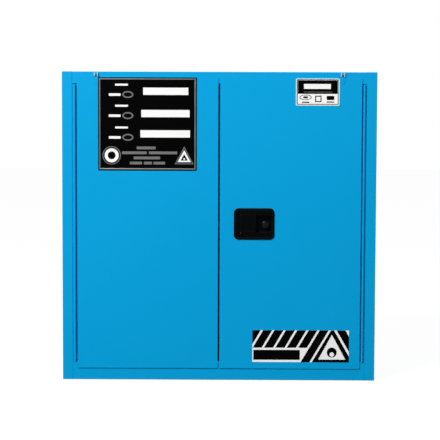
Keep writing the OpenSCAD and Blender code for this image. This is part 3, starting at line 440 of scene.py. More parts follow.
def useGroup(tree, group, place, **values):
    node = tree.nodes.new("ShaderNodeGroup")
    node.node_tree = group
    tree.links.new(place, node.inputs["Vector"])
    for key, value in values.items():
        node.inputs[key].default_value = value
    return node


# Mixes two colours by a mask. Sockets 6 and 7 take the colours and output 2 gives the mixed one.
def mixColours(tree, mask, first, second):
    node = addNode(tree, "ShaderNodeMix", data_type="RGBA")
    tree.links.new(mask, node.inputs["Factor"])
    for place, value in ((6, first), (7, second)):
        feed(tree, node.inputs[place], (*value, 1) if isinstance(value, tuple) else value)
    return node.outputs[2]


def spreadValue(tree, value, low, high):
    node = addNode(tree, "ShaderNodeMapRange", {"To Min": low, "To Max": high})
    tree.links.new(value, node.inputs["Value"])
    return node.outputs[0]


def addBump(tree, shader, height, strength, distance):
    bump = addNode(tree, "ShaderNodeBump", {"Strength": strength, "Distance": distance * mm})
    tree.links.new(height, bump.inputs["Height"])
    tree.links.new(bump.outputs["Normal"], shader.inputs["Normal"])


# A colour times a gain, plus a lift.
def tinted(colour, gain, lift=0.0):
    return tuple(min(part * gain + lift, 1) for part in colour)


paints = {
    "bluePaint": {"colour": (0.0012, 0.354, 0.708), "dark": (0.001, 0.344, 0.694),
                  "light": (0.0014, 0.364, 0.722), "wornAndHighlit": (0.06, 0.45, 0.74),
                  "dustColour": (0.55, 0.56, 0.56), "roughness": 0.42, "spread": 0.05, "specular": 0.09,
                  "ripple": 420.0, "relief": 0.06, "reliefDepth": 0.12, "wearAndHighlight": 0.35, "wearAndHighlightRadius": 1.2,
                  "dust": 0.10},
}


# Paint: a mottled colour, paler on worn edges and under dust, over a rippled skin.
def paintMaterial(name, paint):
    material, tree, shader, place = newMaterial(name, paint["colour"], paint["roughness"],
                                                specular=paint["specular"])
    skin = useGroup(tree, paintSkin, place, Ripple=paint["ripple"])
    colour = mixColours(tree, skin.outputs["Mottle"], paint["dark"], paint["light"])
    wearAndHighlight = useGroup(tree, edgeWearAndHighlight, place, Radius=paint["wearAndHighlightRadius"] * mm, Amount=paint["wearAndHighlight"])
    colour = mixColours(tree, wearAndHighlight.outputs["Mask"], colour, paint["wornAndHighlit"])
    dust = useGroup(tree, dustVeil, place, Amount=paint["dust"])
    colour = mixColours(tree, dust.outputs["Mask"], colour, paint["dustColour"])
    rough = spreadValue(tree, skin.outputs["Mottle"], paint["roughness"] - paint["spread"],
                        paint["roughness"] + paint["spread"])
    tree.links.new(colour, shader.inputs["Base Color"])
    tree.links.new(rough, shader.inputs["Roughness"])
    addBump(tree, shader, skin.outputs["Height"], paint["relief"], paint["reliefDepth"])
    return material


# What a plastic has where its own values don't say otherwise. The pale colour and the colour of worn and
# highlit edges are its own colour times a gain, plus a lift.
plasticUsual = {"specular": 0.4, "spread": 0.06, "grain": 900.0, "relief": 0.02, "reliefDepth": 0.1,
                "wearAndHighlight": 0.4, "wearAndHighlightRadius": 0.8, "dust": 0.15, "dustColour": (0.5, 0.5, 0.48),
                "pale": (1.35, 0.0004), "wornAndHighlit": (2.0, 0.02)}
plastics = {
    # The black latch's strong, wide edge mask paints a highlight along its edges.
    "blackLatch": {"colour": (0.0004, 0.0012, 0.0016), "roughness": 0.36, "grain": 1500.0, "relief": 0.12,
                   "specular": 0.1, "wearAndHighlight": 0.9, "wearAndHighlightRadius": 2.0, "dust": 0.01},
    "signBlack": {"colour": (0.0006, 0.0006, 0.0006), "roughness": 0.32, "grain": 700.0, "specular": 0.07,
                  "wearAndHighlight": 0.0, "dust": 0.0},
    "printWhite": {"colour": (0.86, 0.86, 0.85), "roughness": 0.35, "specular": 0.35, "wearAndHighlight": 0.0,
                   "dust": 0.0},
    "printGrey": {"colour": (0.14, 0.14, 0.142), "roughness": 0.4, "specular": 0.3, "wearAndHighlight": 0.0,
                  "dust": 0.0},
    "printBlack": {"colour": (0.0005, 0.0005, 0.0005), "roughness": 0.32, "specular": 0.06, "wearAndHighlight": 0.0,
                   "dust": 0.0},
    "trayPlastic": {"colour": (0.02, 0.022, 0.025), "roughness": 0.5, "grain": 700.0, "relief": 0.15,
                    "wearAndHighlight": 0.3, "dust": 0.25},
    "footRubber": {"colour": (0.018, 0.018, 0.019), "roughness": 0.7, "grain": 1100.0, "relief": 0.2,
                   "wearAndHighlight": 0.3, "dust": 0.1},
    "nylon": {"colour": (0.72, 0.70, 0.64), "roughness": 0.45, "relief": 0.08, "wearAndHighlight": 0.1},
    "blueNylon": {"colour": (0.012, 0.30, 0.56), "roughness": 0.4, "relief": 0.06, "wearAndHighlight": 0.2,
                  "specular": 0.3, "dust": 0.05},
}


# Plastic, rubber or print: fine grain, a soft mottle, paler edges and a little dust. The paler edges are wear
# on most plastics and a painted highlight on the black latch.
def plasticMaterial(name, own):
    plastic = {**plasticUsual, **own}
    plain, rough, spread = plastic["colour"], plastic["roughness"], plastic["spread"]
    material, tree, shader, place = newMaterial(name, plain, rough, specular=plastic["specular"])
    skin = useGroup(tree, paintSkin, place, Ripple=plastic["grain"])
    colour = mixColours(tree, skin.outputs["Mottle"], plain, tinted(plain, *plastic["pale"]))
    wearAndHighlight = useGroup(tree, edgeWearAndHighlight, place, Radius=plastic["wearAndHighlightRadius"] * mm, Amount=plastic["wearAndHighlight"])
    colour = mixColours(tree, wearAndHighlight.outputs["Mask"], colour, tinted(plain, *plastic["wornAndHighlit"]))
    dust = useGroup(tree, dustVeil, place, Amount=plastic["dust"])
    colour = mixColours(tree, dust.outputs["Mask"], colour, plastic["dustColour"])
    tree.links.new(colour, shader.inputs["Base Color"])
    tree.links.new(spreadValue(tree, skin.outputs["Height"], rough - spread, rough + spread),
                   shader.inputs["Roughness"])
    addBump(tree, shader, skin.outputs["Height"], plastic["relief"], plastic["reliefDepth"])
    return material


metalUsual = {"metallic": 1.0, "stretch": (220, 220, 220), "relief": 0.03, "reliefDepth": 0.05, "dim": 0.82}
metals = {
    "zinc": {"colour": (0.66, 0.67, 0.69), "low": 0.26, "high": 0.44, "relief": 0.04},
    "brightSteel": {"colour": (0.66, 0.665, 0.67), "low": 0.12, "high": 0.24, "stretch": (60, 60, 900)},
    "signMetal": {"colour": (0.45, 0.42, 0.405), "low": 0.34, "high": 0.5, "stretch": (60, 900, 900)},
    # The plate band's pale cyan colour is a painted reflection: a near-white colour in place of the bright,
    # blue-tinted look of silver metal.
    "plateSilverPaintedReflection": {"colour": (0.80, 0.95, 0.96), "metallic": 0.12, "low": 0.34, "high": 0.46,
                    "stretch": (900, 900, 60)},
    # The bracket cheeks' pale cyan colour is a painted highlight and a painted reflection of the blue paint
    # around them.
    "bracketZincPaintedReflection": {"colour": (0.46, 0.70, 0.80), "metallic": 0.2, "low": 0.3, "high": 0.42, "relief": 0.04},
    "boltZinc": {"colour": (0.24, 0.29, 0.31), "low": 0.3, "high": 0.45, "relief": 0.04},
    "brass": {"colour": (0.66, 0.45, 0.16), "low": 0.22, "high": 0.36, "stretch": (300, 300, 300),
              "relief": 0.05},
    "blackChrome": {"colour": (0.075, 0.077, 0.082), "low": 0.16, "high": 0.26, "stretch": (200, 200, 200),
                    "relief": 0.02},
}


# Metal: a drawn grain in the roughness, with a little colour change.
def metalMaterial(name, own):
    metal = {**metalUsual, **own}
    plain = metal["colour"]
    material, tree, shader, place = newMaterial(name, plain, metal["low"], metallic=metal["metallic"])
    grain = useGroup(tree, metalGrain, place, Stretch=metal["stretch"], Low=metal["low"], High=metal["high"])
    colour = mixColours(tree, grain.outputs["Height"], tinted(plain, metal["dim"]), plain)
    tree.links.new(colour, shader.inputs["Base Color"])
    tree.links.new(grain.outputs["Roughness"], shader.inputs["Roughness"])
    addBump(tree, shader, grain.outputs["Height"], metal["relief"], metal["reliefDepth"])
    return material


zincCoats = {
    "galvanised": {"colour": (0.58, 0.6, 0.61), "low": 0.32, "high": 0.5, "dim": 0.8, "scale": 90.0},
}


# Hot-dip zinc: each crystal has its own shade and gloss.
def zincCoatMaterial(name, coat):
    plain = coat["colour"]
    material, tree, shader, place = newMaterial(name, plain, coat["low"], metallic=1.0)
    shade = useGroup(tree, spangle, place, Scale=coat["scale"]).outputs["Shade"]
    tree.links.new(mixColours(tree, shade, tinted(plain, coat["dim"]), plain), shader.inputs["Base Color"])
    tree.links.new(spreadValue(tree, shade, coat["low"], coat["high"]), shader.inputs["Roughness"])
    return material


materials = {}
for makeMaterial, finishes in ((paintMaterial, paints), (plasticMaterial, plastics), (metalMaterial, metals),
                               (zincCoatMaterial, zincCoats)):
    for finishName, values in finishes.items():
        materials[finishName] = makeMaterial(finishName, values)
print("materials made:", len(materials))

# CAD nodes that keep their shape, by their finish and the width in mm of their eased edges.
nodeFinishes = {
    ("bluePaint", 0.35): ["door_skin_left", "door_skin_right"],
    ("bluePaint", 0.3): ["outer_side_left", "outer_side_right", "outer_top", "outer_back", "bottom_rail",
                         "base_pan", "sump_pan", "door_liner_left", "door_liner_right"],
    ("bluePaint", 0.2): ["inner_side_left", "inner_side_right", "inner_top", "inner_back"],
    ("bluePaint", 0.0): ["hinge_frame_leaves", "hinge_door_leaf_left", "hinge_door_leaf_right"],
    ("galvanised", 0.25): ["shelf"],
    ("galvanised", 0.0): ["floor_stringers", "wall_spacers", "shelf_uprights"],
    ("zinc", 0.4): ["vent_tubes", "foot_nuts"],
    ("zinc", 0.3): ["shelf_clips", "earth_nuts", "centre_keeper", "latch_guides"],
    ("zinc", 0.25): ["frame_leaf_rivets"],
    ("zinc", 0.2): ["vent_grilles", "latch_mounting"],
    ("zinc", 0.0): ["bolt_rod_upper", "bolt_rod_lower"],
    ("brightSteel", 0.2): ["hinge_pins", "paddle_pin"],
    ("brightSteel", 0.1): ["paddle_spring"],
    ("boltZinc", 0.25): ["draw_plate"],
    ("blackChrome", 0.25): ["lock_plug"],
    ("brass", 0.0): ["flame_arresters"],
    ("nylon", 0.2): ["rod_keepers"],
    ("blueNylon", 0.2): ["roller_left", "roller_right"],
    ("footRubber", 0.3): ["door_buffers"],
    ("printWhite", 0.1): ["striped_strip"],
}


# Gives a CAD node its finish: welded, with its flat faces whole, its edges eased and its curves smooth.
def finishNode(name, finish, edge):
    node = nodes[name]
    if len(node.material_slots) == 0:
        node.data.materials.append(materials[finish])
    for materialSlot in node.material_slots:
        materialSlot.material = materials[finish]
    node.modifiers.new("prep", "NODES").node_group = shellPrep
    if edge:
        flat = node.modifiers.new("wholeFaces", "DECIMATE")
        flat.decimate_type = "DISSOLVE"
        flat.angle_limit = math.radians(meshing["flatAngle"])
        roundEdges(node, edge, 3)
    node.modifiers.new("shade", "NODES").node_group = softShade
    steadyNormals(node)


for (finishName, edge), names in nodeFinishes.items():
    for nodeName in names:
        finishNode(nodeName, finishName, edge)
print("CAD nodes finished:", sum(len(names) for names in nodeFinishes.values()))

# Latch on the right door. The pocket's left side is given from the middle of the cabinet.
latch = {"rimRadius": 16.0, "rimFillet": 2.6, "bodyInset": 8.0, "grooveAt": 6.2, "grooveDepth": 0.7,
         "dish": 0.5, "wellGap": 0.75, "wellDepth": 8.0, "wellCorner": 3.5, "wellEdge": 1.2,
         "pocketLeft": 101.0, "pocketRim": 2.0, "pocketHalf": 30.5, "pocketDepth": 17.0, "pocketCorner": 6.0,
         "pocketFillet": 3.0, "slotHalf": 6.75, "slotLength": 26.0, "lockDrop": 2.0, "lockBore": 10.1,
         "beyond": 3.0, "edge": 0.6}


# The lock lies on its plug's axis, a little below the paddle's middle.
def lockPlace():
    plug, flap = boxInMm("lock_plug"), boxInMm("paddle")
    return np.array(((plug[0][0] + plug[1][0]) / 2, (flap[0][2] + flap[1][2]) / 2 - latch["lockDrop"]))


# Housing: a body through the door, a flange with a round edge, a groove and a dished face. The paddle's
# well, the hand pocket beside it, the lever's slot and the lock's bore are cut out.
def buildHousing():
    low, high = boxInMm("latch_housing")
    paddleLow, paddleHigh = boxInMm("paddle")
    centre, half = across(low, high, "y")
    bodyIn, groove, gap = latch["bodyInset"], latch["grooveAt"], latch["wellGap"]
    face, back = low[1], high[1]
    sunk, dish, reach = face + latch["grooveDepth"], face + latch["dish"], face - latch["beyond"]
    sections = [(bodyIn + 1.5, back), (bodyIn + 0.4, back - 0.4), (bodyIn, back - 1.5),
                (bodyIn, doorFace + 0.02), (0.4, doorFace), (0.0, doorFace - 0.4)]
    sections += quarter(latch["rimFillet"], face)
    sections += [(groove - 0.4, face), (groove, sunk), (groove + 1.6, sunk), (groove + 2.0, face + 0.15),
                 (groove + 9.0, dish), (min(half) - 4.0, dish)]
    loops = insetLoops(centre, half, latch["rimRadius"], sections, "y", 10)
    base = meshFrom("latchHousing", [stackShell(loops)])
    middle = (paddleLow[2] + paddleHigh[2]) / 2
    wellHalf = (paddleHigh[2] - paddleLow[2]) / 2 + gap
    well = slab((paddleLow[0] - gap, reach, middle - wellHalf),
                (paddleHigh[0] + gap, face + latch["wellDepth"], middle + wellHalf),
                "y", latch["wellCorner"], latch["wellEdge"])
    pocket = slab((latch["pocketLeft"], reach, middle - latch["pocketHalf"]),
                  (centre[0] + half[0] - bodyIn - latch["pocketRim"], face + latch["pocketDepth"],
                   middle + latch["pocketHalf"]), "y", latch["pocketCorner"], latch["pocketFillet"], 6)
    slot = slab((paddleLow[0] + 0.4, face + 5, middle - latch["slotHalf"]),
                (paddleLow[0] + latch["slotLength"], back + 2, middle + latch["slotHalf"]), "y", 1.0, 0.4)
    bore = turned(lockPlace(), [(latch["lockBore"], face + 12), (latch["lockBore"], back + 2)], "y")
    cutters = [meshFrom("cutter", [part]) for part in (well, pocket, slot, bore)]
    mesh = combined("latchHousing", base, cutters, "DIFFERENCE")
    piece = addPiece("latchHousing", mesh, "blackLatch", "right_door", ["latch_housing"])
    roundEdges(piece, latch["edge"], 2, 40)


paddle = {"thick": 5.0, "corner": 3.0, "edge": 1.2, "knuckleRadius": 3.2, "lip": 4.5, "lipDrop": 2.5,
          "leverHalf": 6.0}


# Paddle: a dished flap with a lip at its free side, a turned knuckle round its pin and a lever behind.
def buildPaddle():
    low, high = boxInMm("paddle")
    pinRadius = paddle["knuckleRadius"]
    pinX, pinY = low[0] + pinRadius, low[1] + pinRadius
    middle = (low[2] + high[2]) / 2
    front, back = low[1], low[1] + paddle["thick"]
    centre, half = across(np.array((pinX, low[1], low[2])), high, "y")
    sections = [(1.0, back), (0.3, back - 0.3), (0.0, back - 1.0)] + quarter(paddle["edge"], front)
    sections += [(5.5, front), (6.6, front + 0.45), (8.0, front + 0.8), (14.0, front + 0.95),
                 (22.0, front + 1.0)]
    flap = stackShell(insetLoops(centre, half, paddle["corner"], sections, "y"))
    lip = slab((high[0] - paddle["lip"], front + 2, low[2] + 0.5),
               (high[0] - 0.2, back + paddle["lipDrop"], high[2] - 0.5), "y", 1.5, 1.2)
    profile = [(pinRadius - 0.6, low[2]), (pinRadius, low[2] + 0.6), (pinRadius, high[2] - 0.6),
               (pinRadius - 0.6, high[2])]
    knuckle = turned((pinX, pinY), profile, "z", around=32)
    lever = slab((pinX - 2, pinY, middle - paddle["leverHalf"]),
                 (pinX + 2, high[1], middle + paddle["leverHalf"]), "y", 1.0, 0.8)
    parts = [meshFrom("part", [part]) for part in (lip, knuckle, lever)]
    mesh = combined("paddleFlap", meshFrom("paddleFlap", [flap]), parts, "UNION")
    addPiece("paddleFlap", mesh, "blackLatch", "paddle", ["paddle"])


lock = {"boreRadius": 6.05, "barrelRadius": 10.0, "bezelRadius": 11.5, "bezelThick": 2.0,
        "grooveRadius": 8.7, "grooveDepth": 0.45, "nutRadius": 14.5, "nutThick": 4.0}


# Lock: a barrel with a ringed bezel in front, turned round a bore for the plug, and a hexagon nut behind.
def buildLock():
    low, high = boxInMm("lock_cylinder")
    centre = lockPlace()
    front, back = low[1], high[1]
    bore, barrel, bezel, groove = (lock[part + "Radius"] for part in ("bore", "barrel", "bezel", "groove"))
    bezelBack, sunk = front + lock["bezelThick"], front + lock["grooveDepth"]
    profile = [(bore, back), (barrel - 0.4, back), (barrel, back - 0.4), (barrel, bezelBack),
               (bezel - 0.4, bezelBack), (bezel, bezelBack - 0.4), (bezel, front + 0.7),
               (bezel - 0.3, front + 0.25), (bezel - 0.8, front), (groove + 0.8, front), (groove + 0.5, sunk),
               (groove - 0.5, sunk), (groove - 0.8, front), (bore + 0.45, front), (bore, front + 0.4)]
    nutFront = boxInMm("latch_housing")[1][1]
    nutBack, nutEdge = nutFront + lock["nutThick"], lock["nutRadius"] - 0.9
    nutProfile = [(barrel + 0.05, nutFront), (nutEdge, nutFront), (lock["nutRadius"], nutFront + 0.6),
                  (lock["nutRadius"], nutBack - 0.6), (nutEdge, nutBack), (barrel + 0.05, nutBack)]
    nut = turned(centre, nutProfile, "y", closed=True, around=6)
    mesh = meshFrom("lockBarrel", [turned(centre, profile, "y", closed=True), nut])
    addPiece("lockBarrel", mesh, "blackChrome", "right_door", ["lock_cylinder"])


buildHousing()
buildPaddle()
buildLock()
print("latch built")


# Moulding: a low rounded section carried round the edge of a sign, between two insets.
def mouldingShell(low, high, inner, corner, outer=0.0, top=0.0):
    centre, half = across(low, high, "y")
    front, back, width = low[1] + top, high[1], inner - outer
    sections = [(outer, back), (outer, front + 0.4), (outer + 0.15, front + 0.12), (outer + 0.5, front),
                (outer + width * 0.6, front), (outer + width * 0.85, front + 0.12), (inner, front + 0.35),
                (inner, back)]
    return stackShell(insetLoops(centre, half, corner, sections, "y", 5), closed=True)


# Print of several polygons: it stands proud of the face that it lies on.
def printPiece(name, polygons, front, finish, body, proud=0.12):
    shells = [printShell(polygon, front - proud, front - 0.005) for polygon in polygons]
    addPiece(name, meshFrom(name, shells), finish, body)


# Sign on the left door. Its print is plain bars and plain shapes, in mm from the middle and the foot of
# the cabinet. A row's marks are given from the row's own height.
sign = {"rim": 3.9, "rimDrop": 0.3, "line": 7.8, "corner": 2.0,
        "wideBars": ((-263.3, -107.2, 1008.2), (-269.9, -102.7, 931.6), (-272.7, -101.3, 861.6)),
        "wideHalf": 12.5, "rows": (1030.7, 958.1, 883.2),
        "upperMark": (-360.0, -316.0, -3.4, 3.4), "lowerMark": (-381.8, -341.4, -38.6, -30.0),
        "oval": (-316.3, -33.8), "ovalOuter": (19.0, 12.0), "ovalInner": (14.5, 7.5),
        "smallBars": ((-285.6, -220.5, 813.0), (-336.5, -250.8, 796.1), (-243.1, -145.5, 796.1),
                      (-296.1, -204.8, 778.4), (-309.3, -267.5, 760.7), (-260.5, -232.6, 760.7),
                      (-227.4, -187.4, 760.7)),
        "smallHalf": 4.7, "ring": (-372.4, 787.0), "ringRadii": (31.6, 28.9, 24.4, 13.5),
        "peak": (-121.1, 756.9), "dot": 18.0, "dotRadius": 3.2,
        "peakSizes": ((32.6, 0.0, 61.0), (27.8, 2.7, 54.6), (23.3, 7.3, 48.8), (12.5, 12.8, 35.0))}


# A dark rim, a satin line inside it and a black face with a grey and a white print.
def buildLeftSign():
    low, high = boxInMm("sign_frame")
    rim = mouldingShell(low, high, sign["rim"], sign["corner"], 0.0, sign["rimDrop"])
    addPiece("signRim", meshFrom("signRim", [rim]), "signBlack", "left_door")
    line = mouldingShell(low, high, sign["line"], sign["corner"], sign["rim"])
    addPiece("signFrame", meshFrom("signFrame", [line]), "signMetal", "left_door",
             ["sign_frame"])
    front, inset = boxInMm("sign_plate")[0][1], sign["line"] - 0.1
    face = slab((low[0] + inset, front, low[2] + inset), (high[0] - inset, high[1], high[2] - inset),
                "y", 0.5, 0.1)
    addPiece("signFace", meshFrom("signFace", [face]), "signBlack", "left_door", ["sign_plate"])
    whites = [bar(a, b, z - sign["wideHalf"], z + sign["wideHalf"]) for a, b, z in sign["wideBars"]]
    greys = [bar(a, b, z - sign["smallHalf"], z + sign["smallHalf"]) for a, b, z in sign["smallBars"]]
    circle = ringPoints((0, 0), 1.0)
    for row in sign["rows"]:
        whites += [bar(*sign[mark]) + (0, row) for mark in ("upperMark", "lowerMark")]
        spot = np.array(sign["oval"]) + (0, row)
        greys += band(circle * sign["ovalOuter"] + spot, circle * sign["ovalInner"] + spot)
    rings = [ringPoints(sign["ring"], radius) for radius in sign["ringRadii"]]
    peaks = [triangle(sign["peak"], *size) for size in sign["peakSizes"]]
    greys += band(rings[0], rings[1]) + band(peaks[0], peaks[1])
    whites += band(rings[2], rings[3]) + band(peaks[2], peaks[3])
    whites.append(ringPoints(np.array(sign["peak"]) + (0, sign["dot"]), sign["dotRadius"]))
    printPiece("signGrey", greys, front, "printGrey", "left_door")
    printPiece("signPrint", whites, front, "printWhite", "left_door")


# Small plate on the right door. Its print is given from the plate's middle: left, right, lower, upper.
plate = {"band": 3.4, "bevel": 6.8, "corner": 5.0, "sunk": 0.6, "margin": 0.2, "fieldFoot": -6.0,
         "whiteBar": (-48.0, 45.0, 11.0, 28.0), "greyLine": (-48.0, 50.0, -0.5, 1.2),
         "oval": (-42.0, -18.0), "ovalOuter": (21.0, 9.0), "ovalInner": (18.5, 7.0),
         "squareOuter": (-9.0, 13.0, -34.0, -12.0), "squareInner": (-5.5, 9.5, -30.5, -15.5),
         "marks": ((-50.0, -34.0, -21.0, -15.0), (-55.0, -29.0, -37.0, -33.0),
                   (31.0, 57.0, -27.0, -13.0), (31.0, 57.0, -36.0, -32.0)),
         "printProud": 0.08}


# A bright band, a duller bevel that falls inwards, and a panel with a black and a white field. The band's
# pale cyan colour is a painted reflection.
def buildRatingPlate():
    low, high = boxInMm("rating_plate")
    centre, half = across(low, high, "y")
    front, back, bevelIn, proud = low[1], high[1], plate["bevel"], plate["printProud"]
    edge = mouldingShell(low, high, plate["band"], plate["corner"])
    addPiece("plateFrame", meshFrom("plateFrame", [edge]), "plateSilverPaintedReflection", "right_door",
             ["rating_plate"])
    sections = [(plate["band"], back), (plate["band"], front + 0.35), (bevelIn - 0.3, front + 0.7),
                (bevelIn, front + 0.9), (bevelIn, back)]
    bevel = stackShell(insetLoops(centre, half, plate["corner"], sections, "y", 5), closed=True)
    addPiece("plateBevel", meshFrom("plateBevel", [bevel]), "signMetal", "right_door")
    face = front + plate["sunk"]
    sections = [(0.0, back), (0.0, face + 0.1), (0.1, face)]
    panel = stackShell(insetLoops(centre, half - bevelIn + 0.1, 1.0, sections, "y", 5))
    addPiece("platePanel", meshFrom("platePanel", [panel]), "printWhite", "right_door")
    wide, tall = half - bevelIn - plate["margin"]
    circle = ringPoints((0, 0), 1.0)
    marks = band(circle * plate["ovalOuter"] + plate["oval"], circle * plate["ovalInner"] + plate["oval"])
    marks += band(bar(*plate["squareOuter"]), bar(*plate["squareInner"]))
    marks += [bar(*mark) for mark in plate["marks"]]
    for name, shapes, depth, finish in (
            ("plateField", [bar(-wide, wide, plate["fieldFoot"], tall)], face, "printBlack"),
            ("plateBars", [bar(*plate["whiteBar"])], face - proud, "printWhite"),
            ("plateLine", [bar(*plate["greyLine"])], face - proud, "printGrey"),
            ("plateMarks", marks, face, "printBlack")):
        placed = [np.array(shape) + centre for shape in shapes]
        printPiece(name, placed, depth, finish, "right_door", proud)


# Striped strip on the right door, in mm from its lower left corner. The lines are the white gaps' middles
# along its upper edge, and the lean is how far a stripe goes left for each mm down.
strip = {"lean": 0.59, "gapHalf": 4.0, "lines": (33.4, 72.8, 112.4, 152.4, 192.0, 230.6, 269.8),
         "stripeFoot": 50.6, "label": (3.5, 166.0, 8.0, 43.0),
         "apex": 277.4, "peak": 97.0, "sill": 9.5, "baseHalf": 47.5,
         "rightEdge": 285.0, "rightDrop": 91.0, "cornerGap": 9.0, "cornerFoot": 75.0, "cornerTop": 22.0,
         "cornerIn": 12.0,
         "dot": 34.5, "dotRadius": 17.5, "holeDrop": 7.0, "holeRadius": 8.0}


# Stripes lean by a fixed share of their height, up to a white triangle; the last ones lean the other way.
def buildStrip():
    low, high = boxInMm("striped_strip")
    wide, tall = high[0] - low[0], high[2] - low[2]
    lean, gap, lines = strip["lean"], strip["gapHalf"], strip["lines"]
    apex, peak, sill, edge = strip["apex"], strip["peak"], strip["sill"], strip["rightEdge"]
    footLeft, footRight = apex - strip["baseHalf"], apex + strip["baseHalf"]

    def leaning(a, b, floor):
        shift = lean * (tall - floor)
        return [(a - shift, floor), (b - shift, floor), (b, tall), (a, tall)]

    first, last = lines[0] - gap, lines[-1] + gap
    lastFoot = last - lean * tall
    shapes = [[(0, tall), (0, tall - first / lean), (first, tall)]]
    shapes += [leaning(a + gap, b - gap, strip["stripeFoot"]) for a, b in zip(lines[:5], lines[1:6])]
    shapes += [leaning(lines[5] + gap, lines[6] - gap, 0.0),
               [(lastFoot, 0), (footLeft, sill), (apex, peak), (apex, tall), (last, tall)],
               [(edge, tall), (apex, tall), (apex, peak), (footRight, sill), (wide, sill),
                (wide, tall - strip["rightDrop"])],
               [(lastFoot, 0), (wide, 0), (wide, sill), (footRight, sill), (footLeft, sill)],
               [(edge + strip["cornerGap"], tall), (wide, tall - strip["cornerFoot"]),
                (wide, tall - strip["cornerTop"]), (wide - strip["cornerIn"], tall)],
               bar(*strip["label"])]
    shapes += band(ringPoints((apex, strip["dot"]), strip["dotRadius"]),
                   ringPoints((apex, strip["dot"] - strip["holeDrop"]), strip["holeRadius"]))
    placed = [np.clip(np.array(shape, float), 0, (wide, tall)) + (low[0], low[2]) for shape in shapes]
    printPiece("stripePrint", placed, low[1], "printBlack", "right_door")


buildLeftSign()
buildRatingPlate()
buildStrip()
print("signs built")

tray = {"corner": 14.0, "rim": 4.0, "wall": 3.0, "draft": 3.0, "floorFillet": 6.0, "rimEdge": 1.4}


# Formed tray: up the outside, over the rim and down the inside to the floor, with round corners.
def buildTray(name, node):
    low, high = boxInMm(node)
    centre, half = across(low, high, "z")
    bottom, top = low[2], high[2]
    rim, wall, draft, edge = tray["rim"], tray["wall"], tray["draft"], tray["rimEdge"]
    sections = quarter(tray["floorFillet"], bottom, inset=rim + draft)[::-1]
    inner = rim + wall
    sections += [(rim, top - wall), (0.6, top - wall), (0.0, top - wall + 0.6), (0.0, top - edge),
                 (0.4, top - 0.4), (edge, top), (inner - edge, top), (inner - 0.4, top - 0.4),
                 (inner, top - edge)]
    sections += quarter(tray["floorFillet"] - wall / 2, bottom + wall, inset=inner + draft * 0.9)
    shell = stackShell(insetLoops(centre, half, tray["corner"], sections, "z", 10))
    addPiece(name, meshFrom(name, [shell]), "trayPlastic", "carcass", [node])


buildTray("shelfTray", "shelf_tray")
buildTray("sumpTray", "sump_tray")

ventCap = {"ridges": 36, "ridgeDepth": 0.9, "pointsPerRidge": 6, "discThick": 5.0, "gripProud": 5.0,
           "gripHalf": (24.0, 4.0), "plugRadius": 25.0, "plugLength": 7.0, "plugPitch": 2.2, "plugDepth": 0.9}


# Vent cap: a disc whose radius waves with the angle, a plug with its thread and a bar to turn it by.
def buildVentCap(name, node, side):
    low, high = boxInMm(node)
    centre, half = across(low, high, "x")
    radius = half[0]
    out = high[0] if side > 0 else -low[0]
    discFace = out - ventCap["gripProud"]
    discBack = discFace - ventCap["discThick"]
    around = ventCap["ridges"] * ventCap["pointsPerRidge"]
    angle = np.arange(around) * 2 * math.pi / around
    ridge = (np.cos(angle * ventCap["ridges"]) * 0.5 - 0.5) * ventCap["ridgeDepth"]
    profile = [(1.6, discBack, 0.0), (0.5, discBack + 0.5, 0.6), (0.0, discBack + 1.3, 1.0),
               (0.0, discFace - 1.3, 1.0), (0.5, discFace - 0.5, 0.6), (1.8, discFace, 0.0),
               (6.0, discFace, 0.0), (6.8, discFace - 0.6, 0.0), (16.0, discFace - 0.6, 0.0)]
    loops = []
    for inset, depth, share in profile:
        reach = (radius - inset + ridge * share)[:, None]
        circle = np.stack([np.cos(angle), np.sin(angle)], -1) * reach
        loops.append(lift(circle + centre, side * depth, "x"))
    disc = stackShell(np.array(loops))
    plugEnds = sorted((side * (discBack - ventCap["plugLength"]), side * (discBack + 0.6)))
    plug = threaded(centre, ventCap["plugRadius"], *plugEnds, ventCap["plugPitch"], ventCap["plugDepth"],
                    "x", 72, 6)
    gripEnds = sorted((side * (discFace - 1.0), side * out))
    gripLow, gripHigh = centre - ventCap["gripHalf"], centre + ventCap["gripHalf"]
    grip = slab((gripEnds[0], *gripLow), (gripEnds[1], *gripHigh), "x", 4.0, 1.4)
    addPiece(name, meshFrom(name, [disc, plug, grip]), "zinc", node, [node])


buildVentCap("ventCapLeft", "vent_cap_left", -1)
buildVentCap("ventCapRight", "vent_cap_right", 1)

foot = {"padRadius": 20.0, "padHeight": 7.0, "collarRadius": 8.5, "collarHeight": 4.0, "screwRadius": 5.0,
        "pitch": 1.5, "thread": 0.8}


# Screw foot: a turned rubber pad, a hexagon collar on it and a threaded rod.
def buildFoot(node):
    low, high = boxInMm(node)
    centre = across(low, high, "z")[0]
    radius, tall, collarRadius = foot["padRadius"], foot["padHeight"], foot["collarRadius"]
    pad = turned(centre, [(radius - 1.0, 0.0), (radius - 0.2, 0.3), (radius, 1.0), (radius - 0.3, 2.2),
                          (radius - 3.0, tall - 1.6), (radius - 4.2, tall - 0.5), (radius - 6.0, tall)], "z")
    addPiece(node + "_pad", meshFrom(node + "_pad", [pad]), "footRubber", node, [node])
    collarTop = tall + foot["collarHeight"]
    collar = turned(centre, [(collarRadius - 0.9, tall + 0.05), (collarRadius, tall + 0.5),
                             (collarRadius, collarTop - 0.5), (collarRadius - 0.9, collarTop)], "z", around=6)
    screw = threaded(centre, foot["screwRadius"], collarTop - 0.5, high[2], foot["pitch"], foot["thread"],
                     "z")
    addPiece(node + "_screw", meshFrom(node + "_screw", [collar, screw]), "zinc", node)


for footNode in ("foot_front_left", "foot_front_right", "foot_back_left", "foot_back_right"):
    buildFoot(footNode)

earthStud = {"headRadius": 8.0, "headThick": 4.0, "shankRadius": 4.2, "threadRadius": 4.0,
             "threadLength": 7.9, "pitch": 1.25, "thread": 0.6}


